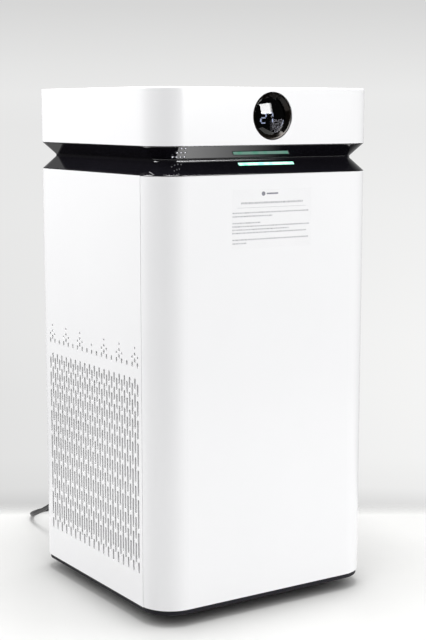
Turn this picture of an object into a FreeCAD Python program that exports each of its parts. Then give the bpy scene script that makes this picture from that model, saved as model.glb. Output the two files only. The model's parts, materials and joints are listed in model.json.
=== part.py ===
import FreeCAD, Part
import math
import os

# Tower air purifier with an electrostatic filter stack, in millimetres.
# X is the width (+X on the right for someone facing the front), -Y is the front, +Z is up.
# The origin is on the floor at the centre of the footprint.

Vec = FreeCAD.Vector

# ---------------------------------------------------------------- driving dimensions
width = 320.0
depth = 310.0
height = 638.0
front_corner_radius = 41.5
back_corner_radius = 29.0
least_corner_radius = 2.0
shell_wall = 3.0
shell_bottom = 20.0          # height of the white shell's lower edge
waist_drop = 101.0           # lower edge of the waist band, below the top
waist_height = 34.0
waist_inset = 17.6           # how deep the V goes in
waist_apex_flat = 2.6        # height of the upright strip at the bottom of the V
waist_wall = 3.5             # measured level
top_edge_fillet = 2.0

door_wrap = 37.5             # how far the door wraps back round the corners
door_gap = 0.5               # all round the door
door_rib_depth = 6.0
door_rib_wall = 2.0

duct_width = 21.0            # air duct between a side panel and an inner wall
inner_wall = 3.0
rear_cavity = 21.0           # room for electronics behind the filter bay
door_cavity = 13.0           # room for handles behind the door
rear_seam_inset = 38.0       # seam between a side panel and the rear panel, from the side

brim_inset = 2.0
brim_drop = 5.5
pan_inset = 27.0
pan_floor_height = 8.0
pan_wall = 2.5

caster_inset_x = 60.0
caster_inset_y = 60.0
caster_wheel_radius = 13.0
caster_wheel_width = 12.0
caster_axle_radius = 2.0
caster_trail = 8.0
caster_stem_radius = 4.0
caster_cup_radius = 25.0
caster_cup_wall = 2.5
fork_wall = 2.0
fork_plate = 3.0
running_fit = 0.05           # radial clearance of turning fits
moving_gap = 0.4             # between pieces that move past each other

intake_top = 297.5
intake_pitch = 6.3
intake_columns = 37
intake_centre_y = 5.3
intake_slot_radius = 1.7
intake_bridge = 4.0
intake_stagger = 6.0
odd_slots = (14.0, 17.5, 21.5, 26.5, 31.0, 34.5, 28.0, 26.5)
even_slots = (16.0, 19.5, 24.0, 29.0, 32.5, 36.5, 32.5, 14.0)

plenum_floor_height = 50.0
plenum_height = 50.0
module_side_gap = 3.0
module_gap = 6.0             # height of the space between stacked modules
module_back_gap = 6.0
prefilter_height = 10.0
ionizer_height = 28.0
collector_height = 174.0
ozone_filter_height = 26.0
rail_wall = 2.5
rail_reach = 7.0
module_wall = 2.5
grip_tab_half_x = 34.0
grip_tab_reach = 9.0
collector_skin = 5.0
bail_half_x = 55.0
bail_radius = 2.5
bail_bend = 3.5
bail_drop = 44.0

fan_deck_wall = 4.0
fan_inlet_radius = 84.0
impeller_radius = 108.0
impeller_height = 60.0
impeller_wall = 2.5
impeller_blades = 9
motor_radius = 42.0
motor_height = 44.0
shaft_radius = 4.0
bearing_radius = 11.0
bearing_height = 7.0
damper_height = 3.0
bridge_wall = 4.0
board_wall = 1.6

outlet_half_x = 118.0
outlet_half_y = 112.0
outlet_radius = 40.0
outlet_recess = 14.0
outlet_slat_pitch = 8.0
outlet_slat_wall = 2.2
outlet_slat_height = 8.0

display_radius = 28.25
display_drop = 33.4          # below the top
display_glass_radius = 21.8
glass_bulge = 3.4
glass_wall = 1.8
glass_rim = 5.0              # the lens edge, behind the front
bezel_gap = 0.15
bezel_flange = 2.0           # catches behind the cover
bezel_lip = 1.2
digit_depth = 12.0           # behind the front
digit_height = 11.0
digit_width = 6.2
digit_stroke = 1.1
digit_centres = (-4.6, 3.7)
led_length = 80.0
led_height = 4.0
led_rise = 11.4              # above the waist band's lower edge
sensor_x = -122.0
sensor_pitch = 5.3
sensor_rows = 3              # the lowest row has one hole more than there are rows
sensor_row_rise = 5.0
sensor_drop = 13.0           # lowest row, below the waist band's upper edge
sensor_hole_radius = 1.1

magnet_radius = 6.0
magnet_depth = 3.0
magnet_gap = 1.2
striker_wall = 1.5
screw_radius = 2.0
screw_head_radius = 3.8
grip_half_x = 60.0
grip_low = 470.0
grip_high = 502.0
grip_depth = 17.0
grip_wall = 2.0

cord_radius = 3.0
gland_x = -90.0
gland_height = 62.0
gland_radius = 7.0
relief_length = 42.0
relief_end_radius = 4.2
coil_centre = (27.0, 250.0)
coil_inner_turn = 27.0
coil_turns_wide = 3
coil_layers = 2
plug_half_width = 11.0
plug_half_height = 7.5
plug_length = 26.0
plug_neck = 16.0
blade_length = 17.0
blade_spread = 6.35

# ---------------------------------------------------------------- derived places
half_x = width / 2
half_y = depth / 2
waist_low = height - waist_drop
waist_high = waist_low + waist_height
seam_y = -half_y + door_wrap
rear_seam_x = half_x - rear_seam_inset
wall_outer_x = half_x - shell_wall - duct_width
wall_inner_x = wall_outer_x - inner_wall
frame_front_y = -half_y + shell_wall + door_cavity
frame_back_y = frame_front_y + inner_wall
back_plate_y = half_y - shell_wall - rear_cavity - inner_wall
chassis_top = waist_low - 1.0
module_half_x = wall_inner_x - module_side_gap
module_front_y = frame_front_y - 1.0
module_back_y = back_plate_y - module_back_gap
window_bottom = plenum_floor_height + plenum_height
prefilter_z = window_bottom + module_gap
ionizer_z = prefilter_z + prefilter_height + module_gap
collector_z = ionizer_z + ionizer_height + module_gap
ozone_filter_z = collector_z + collector_height + module_gap
window_top = ozone_filter_z + ozone_filter_height + module_gap
fan_deck_z = window_top + rail_wall
fan_y = (frame_back_y + back_plate_y) / 2
impeller_low = fan_deck_z + fan_deck_wall + 12
impeller_top = impeller_low + impeller_height
motor_low = impeller_top + 6
motor_top = motor_low + motor_height
bridge_low = motor_top + damper_height
bail_z = collector_z + collector_height / 2 + 30
bail_y = module_front_y - 5.5
magnet_face_y = frame_front_y - striker_wall - magnet_gap
board_back_y = back_plate_y + inner_wall
outlet_low = height - outlet_recess - outlet_slat_height
display_z = height - display_drop
cup_top = pan_floor_height + 32.0
fork_top = cup_top - caster_cup_wall - 1.5
caster_places = [(sx * (half_x - caster_inset_x), sy * (half_y - caster_inset_y))
                 for sy in (-1, 1) for sx in (-1, 1)]

# The cord's corner points, rounded by tangent arcs; the put-away turns lie between lead and tail.
lead_route = (
    (gland_x, half_y + relief_length, gland_height),
    (-90.0, 222.0, 61.0),
    (-90.0, 250.0, 54.0),
    (-89.5, 281.0, 37.0),
    (-88.0, 312.0, 22.5),
    (-85.0, 341.0, 11.0),
    (-73.0, 368.0, 4.0),
    (-47.0, 382.0, 3.0),
    (-19.0, 375.0, 3.0),
    (-5.0, 350.0, 3.0),
    (-2.0, 321.0, 3.0),
    (-8.0, 293.0, 3.0),
    (-12.0, 265.0, 3.0),
)
tail_route = (
    (31.0, 211.0, 9.0),
    (56.0, 211.0, 6.5),
    (80.0, 215.0, 4.0),
    (101.0, 227.0, 3.2),
    (113.0, 248.0, 4.5),
    (117.0, 271.0, 7.5),
)


# ---------------------------------------------------------------- helpers
def box(x0, x1, y0, y1, z0, z1):
    return Part.makeBox(x1 - x0, y1 - y0, z1 - z0, Vec(x0, y0, z0))


def cylinder(radius, low, high, x=0.0, y=0.0):
    return Part.makeCylinder(radius, high - low, Vec(x, y, low), Vec(0, 0, 1))


def rod(radius, start, end):
    along = Vec(*end) - Vec(*start)
    return Part.makeCylinder(radius, along.Length, Vec(*start), along)


def fuse(shapes):
    joined = shapes[0].multiFuse(shapes[1:]) if len(shapes) > 1 else shapes[0]
    return joined.removeSplitter()


def rounded_wire(x, front_y, back_y, front_radius, back_radius, z):
    """Closed outline with its own radius for the front and the back corners."""
    bend = math.sqrt(0.5)
    corners = (
        (x, front_y, -1, front_radius, 1),
        (x, back_y, 1, back_radius, 1),
        (-x, back_y, 1, back_radius, -1),
        (-x, front_y, -1, front_radius, -1),
    )
    arcs = []
    for cx, cy, sy, radius, sx in corners:
        centre = Vec(cx - sx * radius, cy - sy * radius, z)
        on_y = centre + Vec(0, sy * radius, 0)
        on_x = centre + Vec(sx * radius, 0, 0)
        middle = centre + Vec(sx * radius * bend, sy * radius * bend, 0)
        first, last = (on_y, on_x) if sx * sy < 0 else (on_x, on_y)
        arcs.append((first, middle, last))
    edges = []
    for index, (first, middle, last) in enumerate(arcs):
        edges.append(Part.Arc(first, middle, last).toShape())
        following = arcs[(index + 1) % len(arcs)][0]
        edges.append(Part.LineSegment(last, following).toShape())
    return Part.Wire(edges)


def outline(inset, z):
    """The footprint's outline, moved in by an inset that rounds every corner a little."""
    return rounded_wire(half_x - inset, -half_y + inset, half_y - inset,
                        max(front_corner_radius - inset, least_corner_radius),
                        max(back_corner_radius - inset, least_corner_radius), z)


def outline_prism(inset, low, high):
    return Part.Face(outline(inset, low)).extrude(Vec(0, 0, high - low))


def rounded_prism(x, y, radius, low, high):
    return Part.Face(rounded_wire(x, -y, y, radius, radius, low)).extrude(Vec(0, 0, high - low))


def shell_ring(low, high, inset=0.0, wall=shell_wall):
    return outline_prism(inset, low, high).cut(outline_prism(inset + wall, low - 1, high + 1))


def rounded_path(points, bend=None):
    """Straight runs joined by tangent arcs, of one radius or each as large as its two runs allow."""
    corners = [Vec(*point) for point in points]
    edges = []
    radii = []
    start = corners[0]
    for before, corner, after in zip(corners, corners[1:], corners[2:]):
        back = before - corner
        ahead = after - corner
        half_turn = (math.pi - back.getAngle(ahead)) / 2
        cut = bend * math.tan(half_turn) if bend else 0.45 * min(back.Length, ahead.Length)
        radius = cut / math.tan(half_turn)
        back.normalize()
        ahead.normalize()
        inward = (back + ahead).normalize()
        middle = corner + inward * (radius / math.cos(half_turn) - radius)
        last = corner + ahead * cut
        edges.append(Part.LineSegment(start, corner + back * cut).toShape())
        edges.append(Part.Arc(corner + back * cut, middle, last).toShape())
        radii.append(round(radius, 1))
        start = last
    edges.append(Part.LineSegment(start, corners[-1]).toShape())
    return Part.Wire(edges), radii


def swept_round(path, radius):
    start = path.OrderedVertexes[0].Point
    along = path.OrderedVertexes[1].Point - start
    section = Part.Wire([Part.Circle(start, along, radius).toShape()])
    return path.makePipeShell([section], True, False)


def mirrored_x(shape):
    return shape.mirror(Vec(0, 0, 0), Vec(1, 0, 0))


def export(name, *shapes):
    solids = [solid for shape in shapes for solid in shape.Solids]
    shape = solids[0] if len(solids) == 1 else Part.makeCompound(solids)
    faulty = [solid for solid in solids if not solid.isValid() or solid.Volume <= 0]
    if faulty:
        print("FAULT", name, "has", len(faulty), "bad solids")
    shape.exportStep("parts/" + name + ".step")
    print(f"{name:22s} {len(solids):3d} solids {sum(solid.Volume for solid in solids) / 1000:9.2f} cm3")


# ---------------------------------------------------------------- outer shells
def slot_wire(x, y, low, high, radius):
    if high - low < 2 * radius + 0.1:
        middle = Vec(x, y, (low + high) / 2)
        return Part.Wire([Part.Circle(middle, Vec(1, 0, 0), radius).toShape()])
    bottom = Vec(x, y, low + radius)
    top = Vec(x, y, high - radius)
    side = Vec(0, radius, 0)
    rise = Vec(0, 0, radius)
    return Part.Wire([
        Part.LineSegment(bottom + side, top + side).toShape(),
        Part.Arc(top + side, top + rise, top - side).toShape(),
        Part.LineSegment(top - side, bottom - side).toShape(),
        Part.Arc(bottom - side, bottom - rise, bottom + side).toShape(),
    ])


def intake_slots():
    """Every slot as (y, low, high): staggered columns, then the dashes and dots above them."""
    slots = []
    last = intake_columns // 2
    even_top = intake_top - intake_stagger
    dash_top = even_top + 25.5
    for column in range(-last, last + 1):
        y = intake_centre_y + column * intake_pitch
        even = column % 2 == 0
        top = even_top if even else intake_top
        for length in even_slots if even else odd_slots:
            slots.append((y, top - length, top))
            top -= length + intake_bridge
        if even:
            slots.append((y, dash_top - 6.5, dash_top))
    dot = 2 * intake_slot_radius
    for centre in (-17, -11, -5, 5, 11, 17):
        y = intake_centre_y + centre * intake_pitch
        slots.append((y, dash_top - 1.5, dash_top + 4.5))
        slots.append((y, dash_top + 7.5, dash_top + 11.5))
        slots.append((y, dash_top + 15.0, dash_top + 15.0 + dot))
        for beside in (-intake_pitch, intake_pitch):
            slots.append((y + beside, dash_top + 4.0, dash_top + 4.0 + dot))
    slots.append((intake_centre_y, dash_top + 4.0, dash_top + 4.0 + dot))
    return slots


def side_panel():
    """The -X panel: a flat pierced side and the rear corner, in one shell."""
    x = -half_x
    front = seam_y + door_gap
    back = half_y - back_corner_radius
    corners = [Vec(x, front, shell_bottom), Vec(x, back, shell_bottom),
               Vec(x, back, waist_low), Vec(x, front, waist_low)]
    border = Part.makePolygon(corners + corners[:1])
    holes = [slot_wire(x, y, low, high, intake_slot_radius) for y, low, high in intake_slots()]
    face = Part.makeFace(Part.makeCompound([border] + holes), "Part::FaceMakerBullseye")
    flat = face.extrude(Vec(shell_wall, 0, 0))
    corner = shell_ring(shell_bottom, waist_low)
    corner = corner.common(box(x - 1, -rear_seam_x - door_gap, back, half_y + 1, 0, height))
    return flat.fuse(corner)


def rear_panel():
    panel = box(-rear_seam_x, rear_seam_x, half_y - shell_wall, half_y, shell_bottom, waist_low)
    panel = panel.cut(grip_opening())
    panel = panel.cut(rod(gland_radius, (gland_x, 0, gland_height), (gland_x, half_y + 1, gland_height)))
    for x, z in rear_screw_places():
        panel = panel.cut(rod(screw_radius + 0.2, (x, 0, z), (x, half_y + 1, z)))
        panel = panel.cut(rod(screw_head_radius + 0.3, (x, half_y - 2, z), (x, half_y + 1, z)))
    return panel


def rear_screw_places():
    x = rear_seam_x - 10
    return [(side * x, z) for side in (-1, 1) for z in (shell_bottom + 22, 270.0, waist_low - 22)]


def grip_opening():
    return box(-grip_half_x, grip_half_x, half_y - shell_wall - grip_depth, half_y + 1, grip_low, grip_high)


def rear_grip_cup():
    """Pocket for the fingers, with a wider lip behind the panel."""
    y = half_y - shell_wall
    cup = box(-grip_half_x, grip_half_x, y - grip_depth, half_y - 0.5, grip_low, grip_high)
    cup = cup.cut(box(-grip_half_x + grip_wall, grip_half_x - grip_wall, y - grip_depth + grip_wall,
                      half_y + 1, grip_low + grip_wall, grip_high - grip_wall))
    lip = box(-grip_half_x - 4, grip_half_x + 4, y - 2, y, grip_low - 4, grip_high + 4)
    lip = lip.cut(box(-grip_half_x, grip_half_x, y - 3, y + 1, grip_low, grip_high))
    return fuse([cup, lip])


def front_door():
    low = shell_bottom + door_gap
    high = waist_low - door_gap
    front_half = box(-half_x - 1, half_x + 1, -half_y - 1, seam_y, 0, height)
    pieces = [shell_ring(low, high).common(front_half)]
    for z in (low + 8, ionizer_z + ionizer_height + 40, high - 10):
        rib = shell_ring(z, z + door_rib_wall, shell_wall, door_rib_depth)
        pieces.append(rib.common(front_half))
    door = fuse(pieces)
    for x, z in magnet_places():
        boss = rod(magnet_radius + 2, (x, -half_y + shell_wall - 1, z), (x, magnet_face_y, z))
        pocket = rod(magnet_radius + 0.1, (x, magnet_face_y - magnet_depth, z), (x, magnet_face_y + 1, z))
        door = door.fuse(boss).cut(pocket)
    return door.removeSplitter()


def magnet_places():
    x = wall_inner_x - 10
    return [(side * x, z) for side in (-1, 1) for z in (shell_bottom + 30, waist_low - 40)]


def door_magnets():
    return [rod(magnet_radius, (x, magnet_face_y - magnet_depth, z), (x, magnet_face_y, z))
            for x, z in magnet_places()]


def door_strikers():
    return [box(x - 8, x + 8, frame_front_y - striker_wall, frame_front_y, z - 8, z + 8)
            for x, z in magnet_places()]


def info_film():
    film_half_x = 58.0
    return box(-film_half_x, film_half_x, -half_y - 0.1, -half_y, waist_low - 88, waist_low - 18)


def waist_band():
    middle = (waist_low + waist_high) / 2
    flat = waist_apex_flat / 2

    def v_solid(inset, extra):
        rings = [outline(inset, waist_low - extra), outline(waist_inset + inset, middle - flat),
                 outline(waist_inset + inset, middle + flat), outline(inset, waist_high + extra)]
        return Part.makeLoft(rings, True, True)

    band = v_solid(0.0, 0.0).cut(v_solid(waist_wall, 0.0))
    band = band.cut(led_block(0.1))
    for place in sensor_hole_places():
        band = band.cut(sensor_hole(place))
    return band


def facet_point(x, z):
    """Point on the front V facets at a height, and the outward normal there."""
    middle = (waist_low + waist_high) / 2
    flat = waist_apex_flat / 2
    rise = (waist_height / 2) - flat
    run = 1.0 - (abs(z - middle) - flat) / rise
    normal = Vec(0, -rise, waist_inset if z < middle else -waist_inset)
    return Vec(x, -half_y + waist_inset * run, z), normal.normalize()


def led_block(grow):
    point, normal = facet_point(0.0, waist_low + led_rise)
    block = Part.makeBox(led_length + 2 * grow, 3.0 + grow, led_height + 2 * grow,
                         Vec(-led_length / 2 - grow, -0.15, -led_height / 2 - grow))
    tilt = math.degrees(math.atan2(normal.z, -normal.y))
    block.rotate(Vec(0, 0, 0), Vec(1, 0, 0), -tilt)
    block.translate(point)
    return block


def sensor_hole_places():
    """Triangle of holes: each row has one hole fewer than the row below it."""
    return [(sensor_x + sensor_pitch * (column - (sensor_rows - row) / 2),
             waist_high - sensor_drop + sensor_row_rise * row)
            for row in range(sensor_rows) for column in range(sensor_rows + 1 - row)]


def sensor_hole(place):
    point, normal = facet_point(*place)
    return Part.makeCylinder(sensor_hole_radius, 12.0, point + normal * 4, normal * -1)


def dust_sensor():
    y = -half_y + waist_inset + waist_wall + 1.5
    case = box(sensor_x - 22, sensor_x + 22, y + 3, y + 19, waist_high - 6, waist_high + 24)
    snout = rod(6.0, (sensor_x, y + 3, waist_high), (sensor_x, y, waist_high))
    return fuse([case, snout])


def top_cover():
    cover = outline_prism(0.0, waist_high, height)
    edges = [edge for edge in cover.Edges
             if edge.BoundBox.ZMin > height - 0.01]
    cover = cover.makeFillet(top_edge_fillet, edges)
    cover = cover.cut(outline_prism(shell_wall, waist_high - 1, height - shell_wall))
    collar = rounded_prism(outlet_half_x + 2.5, outlet_half_y + 2.5, outlet_radius + 2.5,
                           height - 34, height - shell_wall + 0.5)
    cover = cover.fuse(collar)
    cover = cover.cut(rounded_prism(outlet_half_x, outlet_half_y, outlet_radius, waist_high, height + 1))
    ledge = rounded_prism(outlet_half_x + 1, outlet_half_y + 1, outlet_radius + 1,
                          outlet_low - 3, outlet_low)
    ledge = ledge.cut(rounded_prism(outlet_half_x - 4, outlet_half_y - 4, outlet_radius - 4,
                                    outlet_low - 4, outlet_low + 1))
    cover = cover.fuse(ledge)
    cover = cover.cut(rod(display_radius, (0, -half_y - 1, display_z), (0, -half_y + 5, display_z)))
    return cover.removeSplitter()


def outlet_grille():
    gap = 0.3
    x = outlet_half_x - gap
    y = outlet_half_y - gap
    frame = rounded_prism(x, y, outlet_radius - gap, outlet_low, outlet_low + outlet_slat_height)
    frame = frame.cut(rounded_prism(x - 3, y - 3, outlet_radius - 3, outlet_low - 1, height))
    inside = rounded_prism(x - 2, y - 2, outlet_radius - 2, outlet_low, height)
    count = int((y - 3) / outlet_slat_pitch)
    slats = [box(-x, x, row * outlet_slat_pitch - outlet_slat_wall / 2,
                 row * outlet_slat_pitch + outlet_slat_wall / 2,
                 outlet_low, outlet_low + outlet_slat_height - 1).common(inside)
             for row in range(-count, count + 1)]
    spines = [box(place - 1.5, place + 1.5, -y, y, outlet_low, outlet_low + 4).common(inside)
              for place in (-x / 2, 0.0, x / 2)]
    return fuse([frame] + slats + spines)


# ---------------------------------------------------------------- display
def turned_y(profile, y_front, z):
    """Solid turned about the front-to-back axis: profile is (radius, depth behind the front)."""
    points = [Vec(radius, y_front + back, 0) for radius, back in profile]
    face = Part.Face(Part.makePolygon(points + points[:1]))
    solid = face.revolve(Vec(0, 0, 0), Vec(0, 1, 0), 360)
    solid.translate(Vec(0, 0, z))
    return solid


def display_bezel():
    """Chromed ring with a thin bevelled lip, a cone down to the lens, and a flange behind.

    The flange is cut flat where a thicker cover's ceiling comes down to it.
    """
    outer = display_radius - bezel_gap
    seat = display_glass_radius + 0.4
    bore = display_glass_radius - 3
    tube = display_radius - 3.2
    flange_back = shell_wall + 2
    lens_back = glass_rim + glass_wall + 0.1
    profile = [(outer, 0.4 + bezel_lip), (outer - bezel_lip, 0.4), (outer - 2 * bezel_lip, 0.6),
               (seat, glass_rim + 0.4), (seat, lens_back), (bore, lens_back), (bore, digit_depth + 3),
               (tube, digit_depth + 3), (tube, flange_back), (outer + bezel_flange, flange_back),
               (outer + bezel_flange, shell_wall), (outer, shell_wall)]
    ceiling = height - shell_wall - 0.2
    above = box(-half_x, half_x, -half_y + shell_wall, 0.0, ceiling, height)
    return turned_y(profile, -half_y, display_z).cut(above)


def display_glass():
    """Domed lens, thicker in the middle."""
    radius = display_glass_radius
    sphere = (radius ** 2 + glass_bulge ** 2) / (2 * glass_bulge)
    front_y = -half_y + glass_rim - glass_bulge
    back_y = -half_y + glass_rim + glass_wall
    mid_x = radius * 0.55
    mid_back = sphere - math.sqrt(sphere ** 2 - mid_x ** 2)
    start = Vec(0, front_y, 0)
    middle = Vec(mid_x, front_y + mid_back, 0)
    edge = Vec(radius, -half_y + glass_rim, 0)
    back_edge = Vec(radius, back_y, 0)
    back_middle = Vec(0, back_y, 0)
    wire = Part.Wire([
        Part.Arc(start, middle, edge).toShape(),
        Part.LineSegment(edge, back_edge).toShape(),
        Part.LineSegment(back_edge, back_middle).toShape(),
        Part.LineSegment(back_middle, start).toShape(),
    ])
    solid = Part.Face(wire).revolve(Vec(0, 0, 0), Vec(0, 1, 0), 360)
    solid.translate(Vec(0, 0, display_z))
    return solid


def display_digits():
    """Two seven-segment figures, 2 and 7, standing on the display board."""
    segments = {
        "top": (-0.5, 0.5, 1.0, 1.0), "middle": (-0.5, 0.5, 0.5, 0.5), "bottom": (-0.5, 0.5, 0.0, 0.0),
        "upper_left": (-0.5, -0.5, 0.5, 1.0), "upper_right": (0.5, 0.5, 0.5, 1.0),
        "lower_left": (-0.5, -0.5, 0.0, 0.5), "lower_right": (0.5, 0.5, 0.0, 0.5),
    }
    two = ("top", "upper_right", "middle", "lower_left", "bottom")
    seven = ("top", "upper_right", "lower_right")
    y = -half_y + digit_depth
    low = display_z - digit_height / 2 - 2
    half = digit_stroke / 2
    nip = 0.35
    bars = []
    for centre, lit in zip(digit_centres, (two, seven)):
        for name in lit:
            x0, x1, f0, f1 = segments[name]
            flat = f0 == f1
            left = centre + x0 * digit_width - half + (digit_stroke + nip if flat else 0)
            right = centre + x1 * digit_width + half - (digit_stroke + nip if flat else 0)
            bottom = low + f0 * digit_height + (-half if flat else half + nip)
            top = low + f1 * digit_height + (half if flat else -half - nip)
            bars.append(box(left, right, y, y + 0.6, bottom, top))
    return bars


def display_board():
    y = -half_y + digit_depth + 0.6
    radius = display_glass_radius - 3.2
    face = rod(radius, (0, y, display_z), (0, y + 2, display_z))
    chips = [box(-9, 3, y + 2, y + 3.6, display_z - 6, display_z + 6),
             box(6, 11, y + 2, y + 3.2, display_z - 4, display_z + 4)]
    return [face] + chips


# ---------------------------------------------------------------- base and casters
def base_tray():
    """Dished tray: a thin brim under the shells, a deeper pan, and a cup for each caster."""
    brim_low = shell_bottom - brim_drop
    floor_top = pan_floor_height + pan_wall
    brim = outline_prism(brim_inset, brim_low, shell_bottom)
    brim = brim.cut(outline_prism(pan_inset + pan_wall, brim_low - 1, shell_bottom + 1))
    side = outline_prism(pan_inset, pan_floor_height, brim_low + 1)
    side = side.cut(outline_prism(pan_inset + pan_wall, floor_top, shell_bottom + 1))
    tray = brim.fuse(side)
    for x, y in caster_places:
        tray = tray.fuse(cylinder(caster_cup_radius + caster_cup_wall, pan_floor_height, cup_top, x, y))
        tray = tray.fuse(cylinder(caster_stem_radius + 5, cup_top - 1, plenum_floor_height, x, y))
    for x, y in caster_places:
        tray = tray.cut(cylinder(caster_cup_radius, pan_floor_height - 1, cup_top - caster_cup_wall, x, y))
        tray = tray.cut(cylinder(caster_stem_radius + running_fit, 0, plenum_floor_height - 2, x, y))
    for x, y in base_screw_places():
        tray = tray.cut(cylinder(screw_radius + 0.2, 0, shell_bottom, x, y))
    return tray.removeSplitter()


def base_screw_places():
    return [(x, y) for y in (-60.0, 60.0) for x in (-50.0, 0.0, 50.0)]


def caster_fork(x, y):
    """Swivel fork with its stem, and the wheel's axle through both cheeks."""
    axle_y = y + caster_trail
    inner = caster_wheel_width / 2 + moving_gap
    outer = inner + fork_wall
    plate = cylinder(14.0, fork_top - fork_plate, fork_top, x, y)
    stem = cylinder(caster_stem_radius, fork_top - 1, plenum_floor_height - 4, x, y)
    axle_z = caster_wheel_radius
    cheeks = []
    for side in (-1, 1):
        low, high = sorted((x + side * inner, x + side * outer))
        cheek = box(low, high, y - 6, y + 6, axle_z + 7, fork_top - 1)
        cheek = cheek.fuse(box(low, high, axle_y - 5, axle_y + 5, axle_z, axle_z + 12))
        cheek = cheek.fuse(rod(5.0, (low, axle_y, axle_z), (high, axle_y, axle_z)))
        cheeks.append(cheek)
    fork = fuse([plate, stem] + cheeks)
    hole = rod(caster_axle_radius, (x - outer - 1, axle_y, axle_z), (x + outer + 1, axle_y, axle_z))
    axle = rod(caster_axle_radius, (x - outer, axle_y, axle_z), (x + outer, axle_y, axle_z))
    return [fork.cut(hole), axle]


def caster_wheel(x, y):
    axle_y = y + caster_trail
    half = caster_wheel_width / 2
    radius = caster_wheel_radius
    profile = [(caster_axle_radius + running_fit, -half), (radius - 1.5, -half), (radius, -half + 1.5),
               (radius, half - 1.5), (radius - 1.5, half), (caster_axle_radius + running_fit, half)]
    points = [Vec(along, r, 0) for r, along in profile]
    face = Part.Face(Part.makePolygon(points + points[:1]))
    wheel = face.revolve(Vec(0, 0, 0), Vec(1, 0, 0), 360)
    wheel.translate(Vec(x, axle_y, radius))
    return wheel


def base_screws():
    screws = []
    for x, y in base_screw_places():
        head = cylinder(screw_head_radius, pan_floor_height - 2, pan_floor_height, x, y)
        shank = cylinder(screw_radius, pan_floor_height - 1, pan_floor_height + 14, x, y)
        screws.append(fuse([head, shank]))
    return screws


# ---------------------------------------------------------------- chassis
def inner_side_wall():
    """The -X one of two mirror images."""
    wall = box(-wall_outer_x, -wall_inner_x, frame_back_y, back_plate_y + inner_wall,
               shell_bottom, chassis_top)
    bays = 3
    low_y = frame_back_y + 16
    bay = (back_plate_y - 16 - low_y) / bays
    for index in range(bays):
        start = low_y + index * bay
        wall = wall.cut(box(-half_x, 0, start + 5, start + bay - 5,
                            plenum_floor_height + 6, window_bottom - 4))
    return wall


def front_frame():
    frame = box(-wall_outer_x, wall_outer_x, frame_front_y, frame_back_y, shell_bottom, chassis_top)
    return frame.cut(box(-wall_inner_x + 1, wall_inner_x - 1, frame_front_y - 1, frame_back_y + 1,
                         window_bottom, window_top))


def bay_back_plate():
    plate = box(-wall_inner_x, wall_inner_x, back_plate_y, back_plate_y + inner_wall,
                shell_bottom, chassis_top)
    for x, z in rear_screw_places():
        boss = rod(5.0, (x, back_plate_y + inner_wall - 1, z), (x, half_y - shell_wall, z))
        plate = plate.fuse(boss)
        plate = plate.cut(rod(screw_radius + 0.05, (x, back_plate_y + 2, z), (x, half_y, z)))
    return plate.removeSplitter()


def rear_screws():
    screws = []
    for x, z in rear_screw_places():
        head = rod(screw_head_radius, (x, half_y - 2, z), (x, half_y - 0.3, z))
        shank = rod(screw_radius, (x, back_plate_y + 6, z), (x, half_y - 1, z))
        screws.append(fuse([head, shank]))
    return screws


def plenum_floor():
    """Floor of the lower air chamber, standing on screw columns from the pan."""
    floor = box(-wall_inner_x, wall_inner_x, frame_back_y, back_plate_y,
                plenum_floor_height, plenum_floor_height + 3)
    for x, y in base_screw_places():
        floor = floor.fuse(cylinder(5.0, pan_floor_height + pan_wall, plenum_floor_height + 1, x, y))
        floor = floor.cut(cylinder(screw_radius + 0.05, 0, plenum_floor_height - 10, x, y))
    return floor.removeSplitter()


def slide_rails():
    rails = []
    for z in (prefilter_z, ionizer_z, collector_z, ozone_filter_z):
        for side in (-1, 1):
            low, high = sorted((side * wall_inner_x, side * (wall_inner_x - rail_reach)))
            rails.append(box(low, high, frame_back_y, back_plate_y, z - moving_gap - rail_wall,
                             z - moving_gap))
    return rails


# ---------------------------------------------------------------- filter modules
def module_box(low, high, wall=module_wall):
    outer = box(-module_half_x, module_half_x, module_front_y, module_back_y, low, high)
    return outer.cut(box(-module_half_x + wall, module_half_x - wall, module_front_y + wall,
                         module_back_y - wall, low - 1, high + 1))


def module_bars(low, high, count, thick):
    step = 2 * module_half_x / (count + 1)
    return [box(-module_half_x + step * n - thick / 2, -module_half_x + step * n + thick / 2,
                module_front_y + 1, module_back_y - 1, low, high) for n in range(1, count + 1)]


def grip_tab(low, high):
    """Finger loop that stands forward of a module's front."""
    y = module_front_y
    tab = box(-grip_tab_half_x, grip_tab_half_x, y - grip_tab_reach, y + 1, low, high)
    return tab.cut(box(-grip_tab_half_x + 3, grip_tab_half_x - 3, y - grip_tab_reach + 2.5, y,
                       low - 1, high + 1))


def prefilter_frame():
    low = prefilter_z
    high = prefilter_z + prefilter_height
    bars = module_bars(low, low + 3, 3, 3.0)
    return fuse([module_box(low, high)] + bars + [grip_tab(low + 2, high - 2)])


def prefilter_mesh():
    """Woven net, as crossed strands in one pierced sheet, lying on the frame's bars."""
    low = prefilter_z + 3
    margin = module_wall + 0.2
    x = module_half_x - margin
    y0 = module_front_y + margin
    y1 = module_back_y - margin
    strand = 1.0
    columns = 18
    rows = 18
    step_x = 2 * x / columns
    step_y = (y1 - y0) / rows
    half = strand / 2
    across = [box(-x, x, y0 + n * step_y - (0 if n == 0 else half),
                  y0 + n * step_y + (0 if n == rows else half), low, low + strand) for n in range(rows + 1)]
    along = [box(-x + n * step_x - (0 if n == 0 else half), -x + n * step_x + (0 if n == columns else half),
                 y0, y1, low, low + strand) for n in range(columns + 1)]
    return fuse(across + along)


def ionizer_frame():
    low = ionizer_z
    high = ionizer_z + ionizer_height
    bars = module_bars(low, low + 5, 3, 4.0)
    return fuse([module_box(low, high, 4.0)] + bars + [grip_tab(low + 6, high - 6)])


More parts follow.
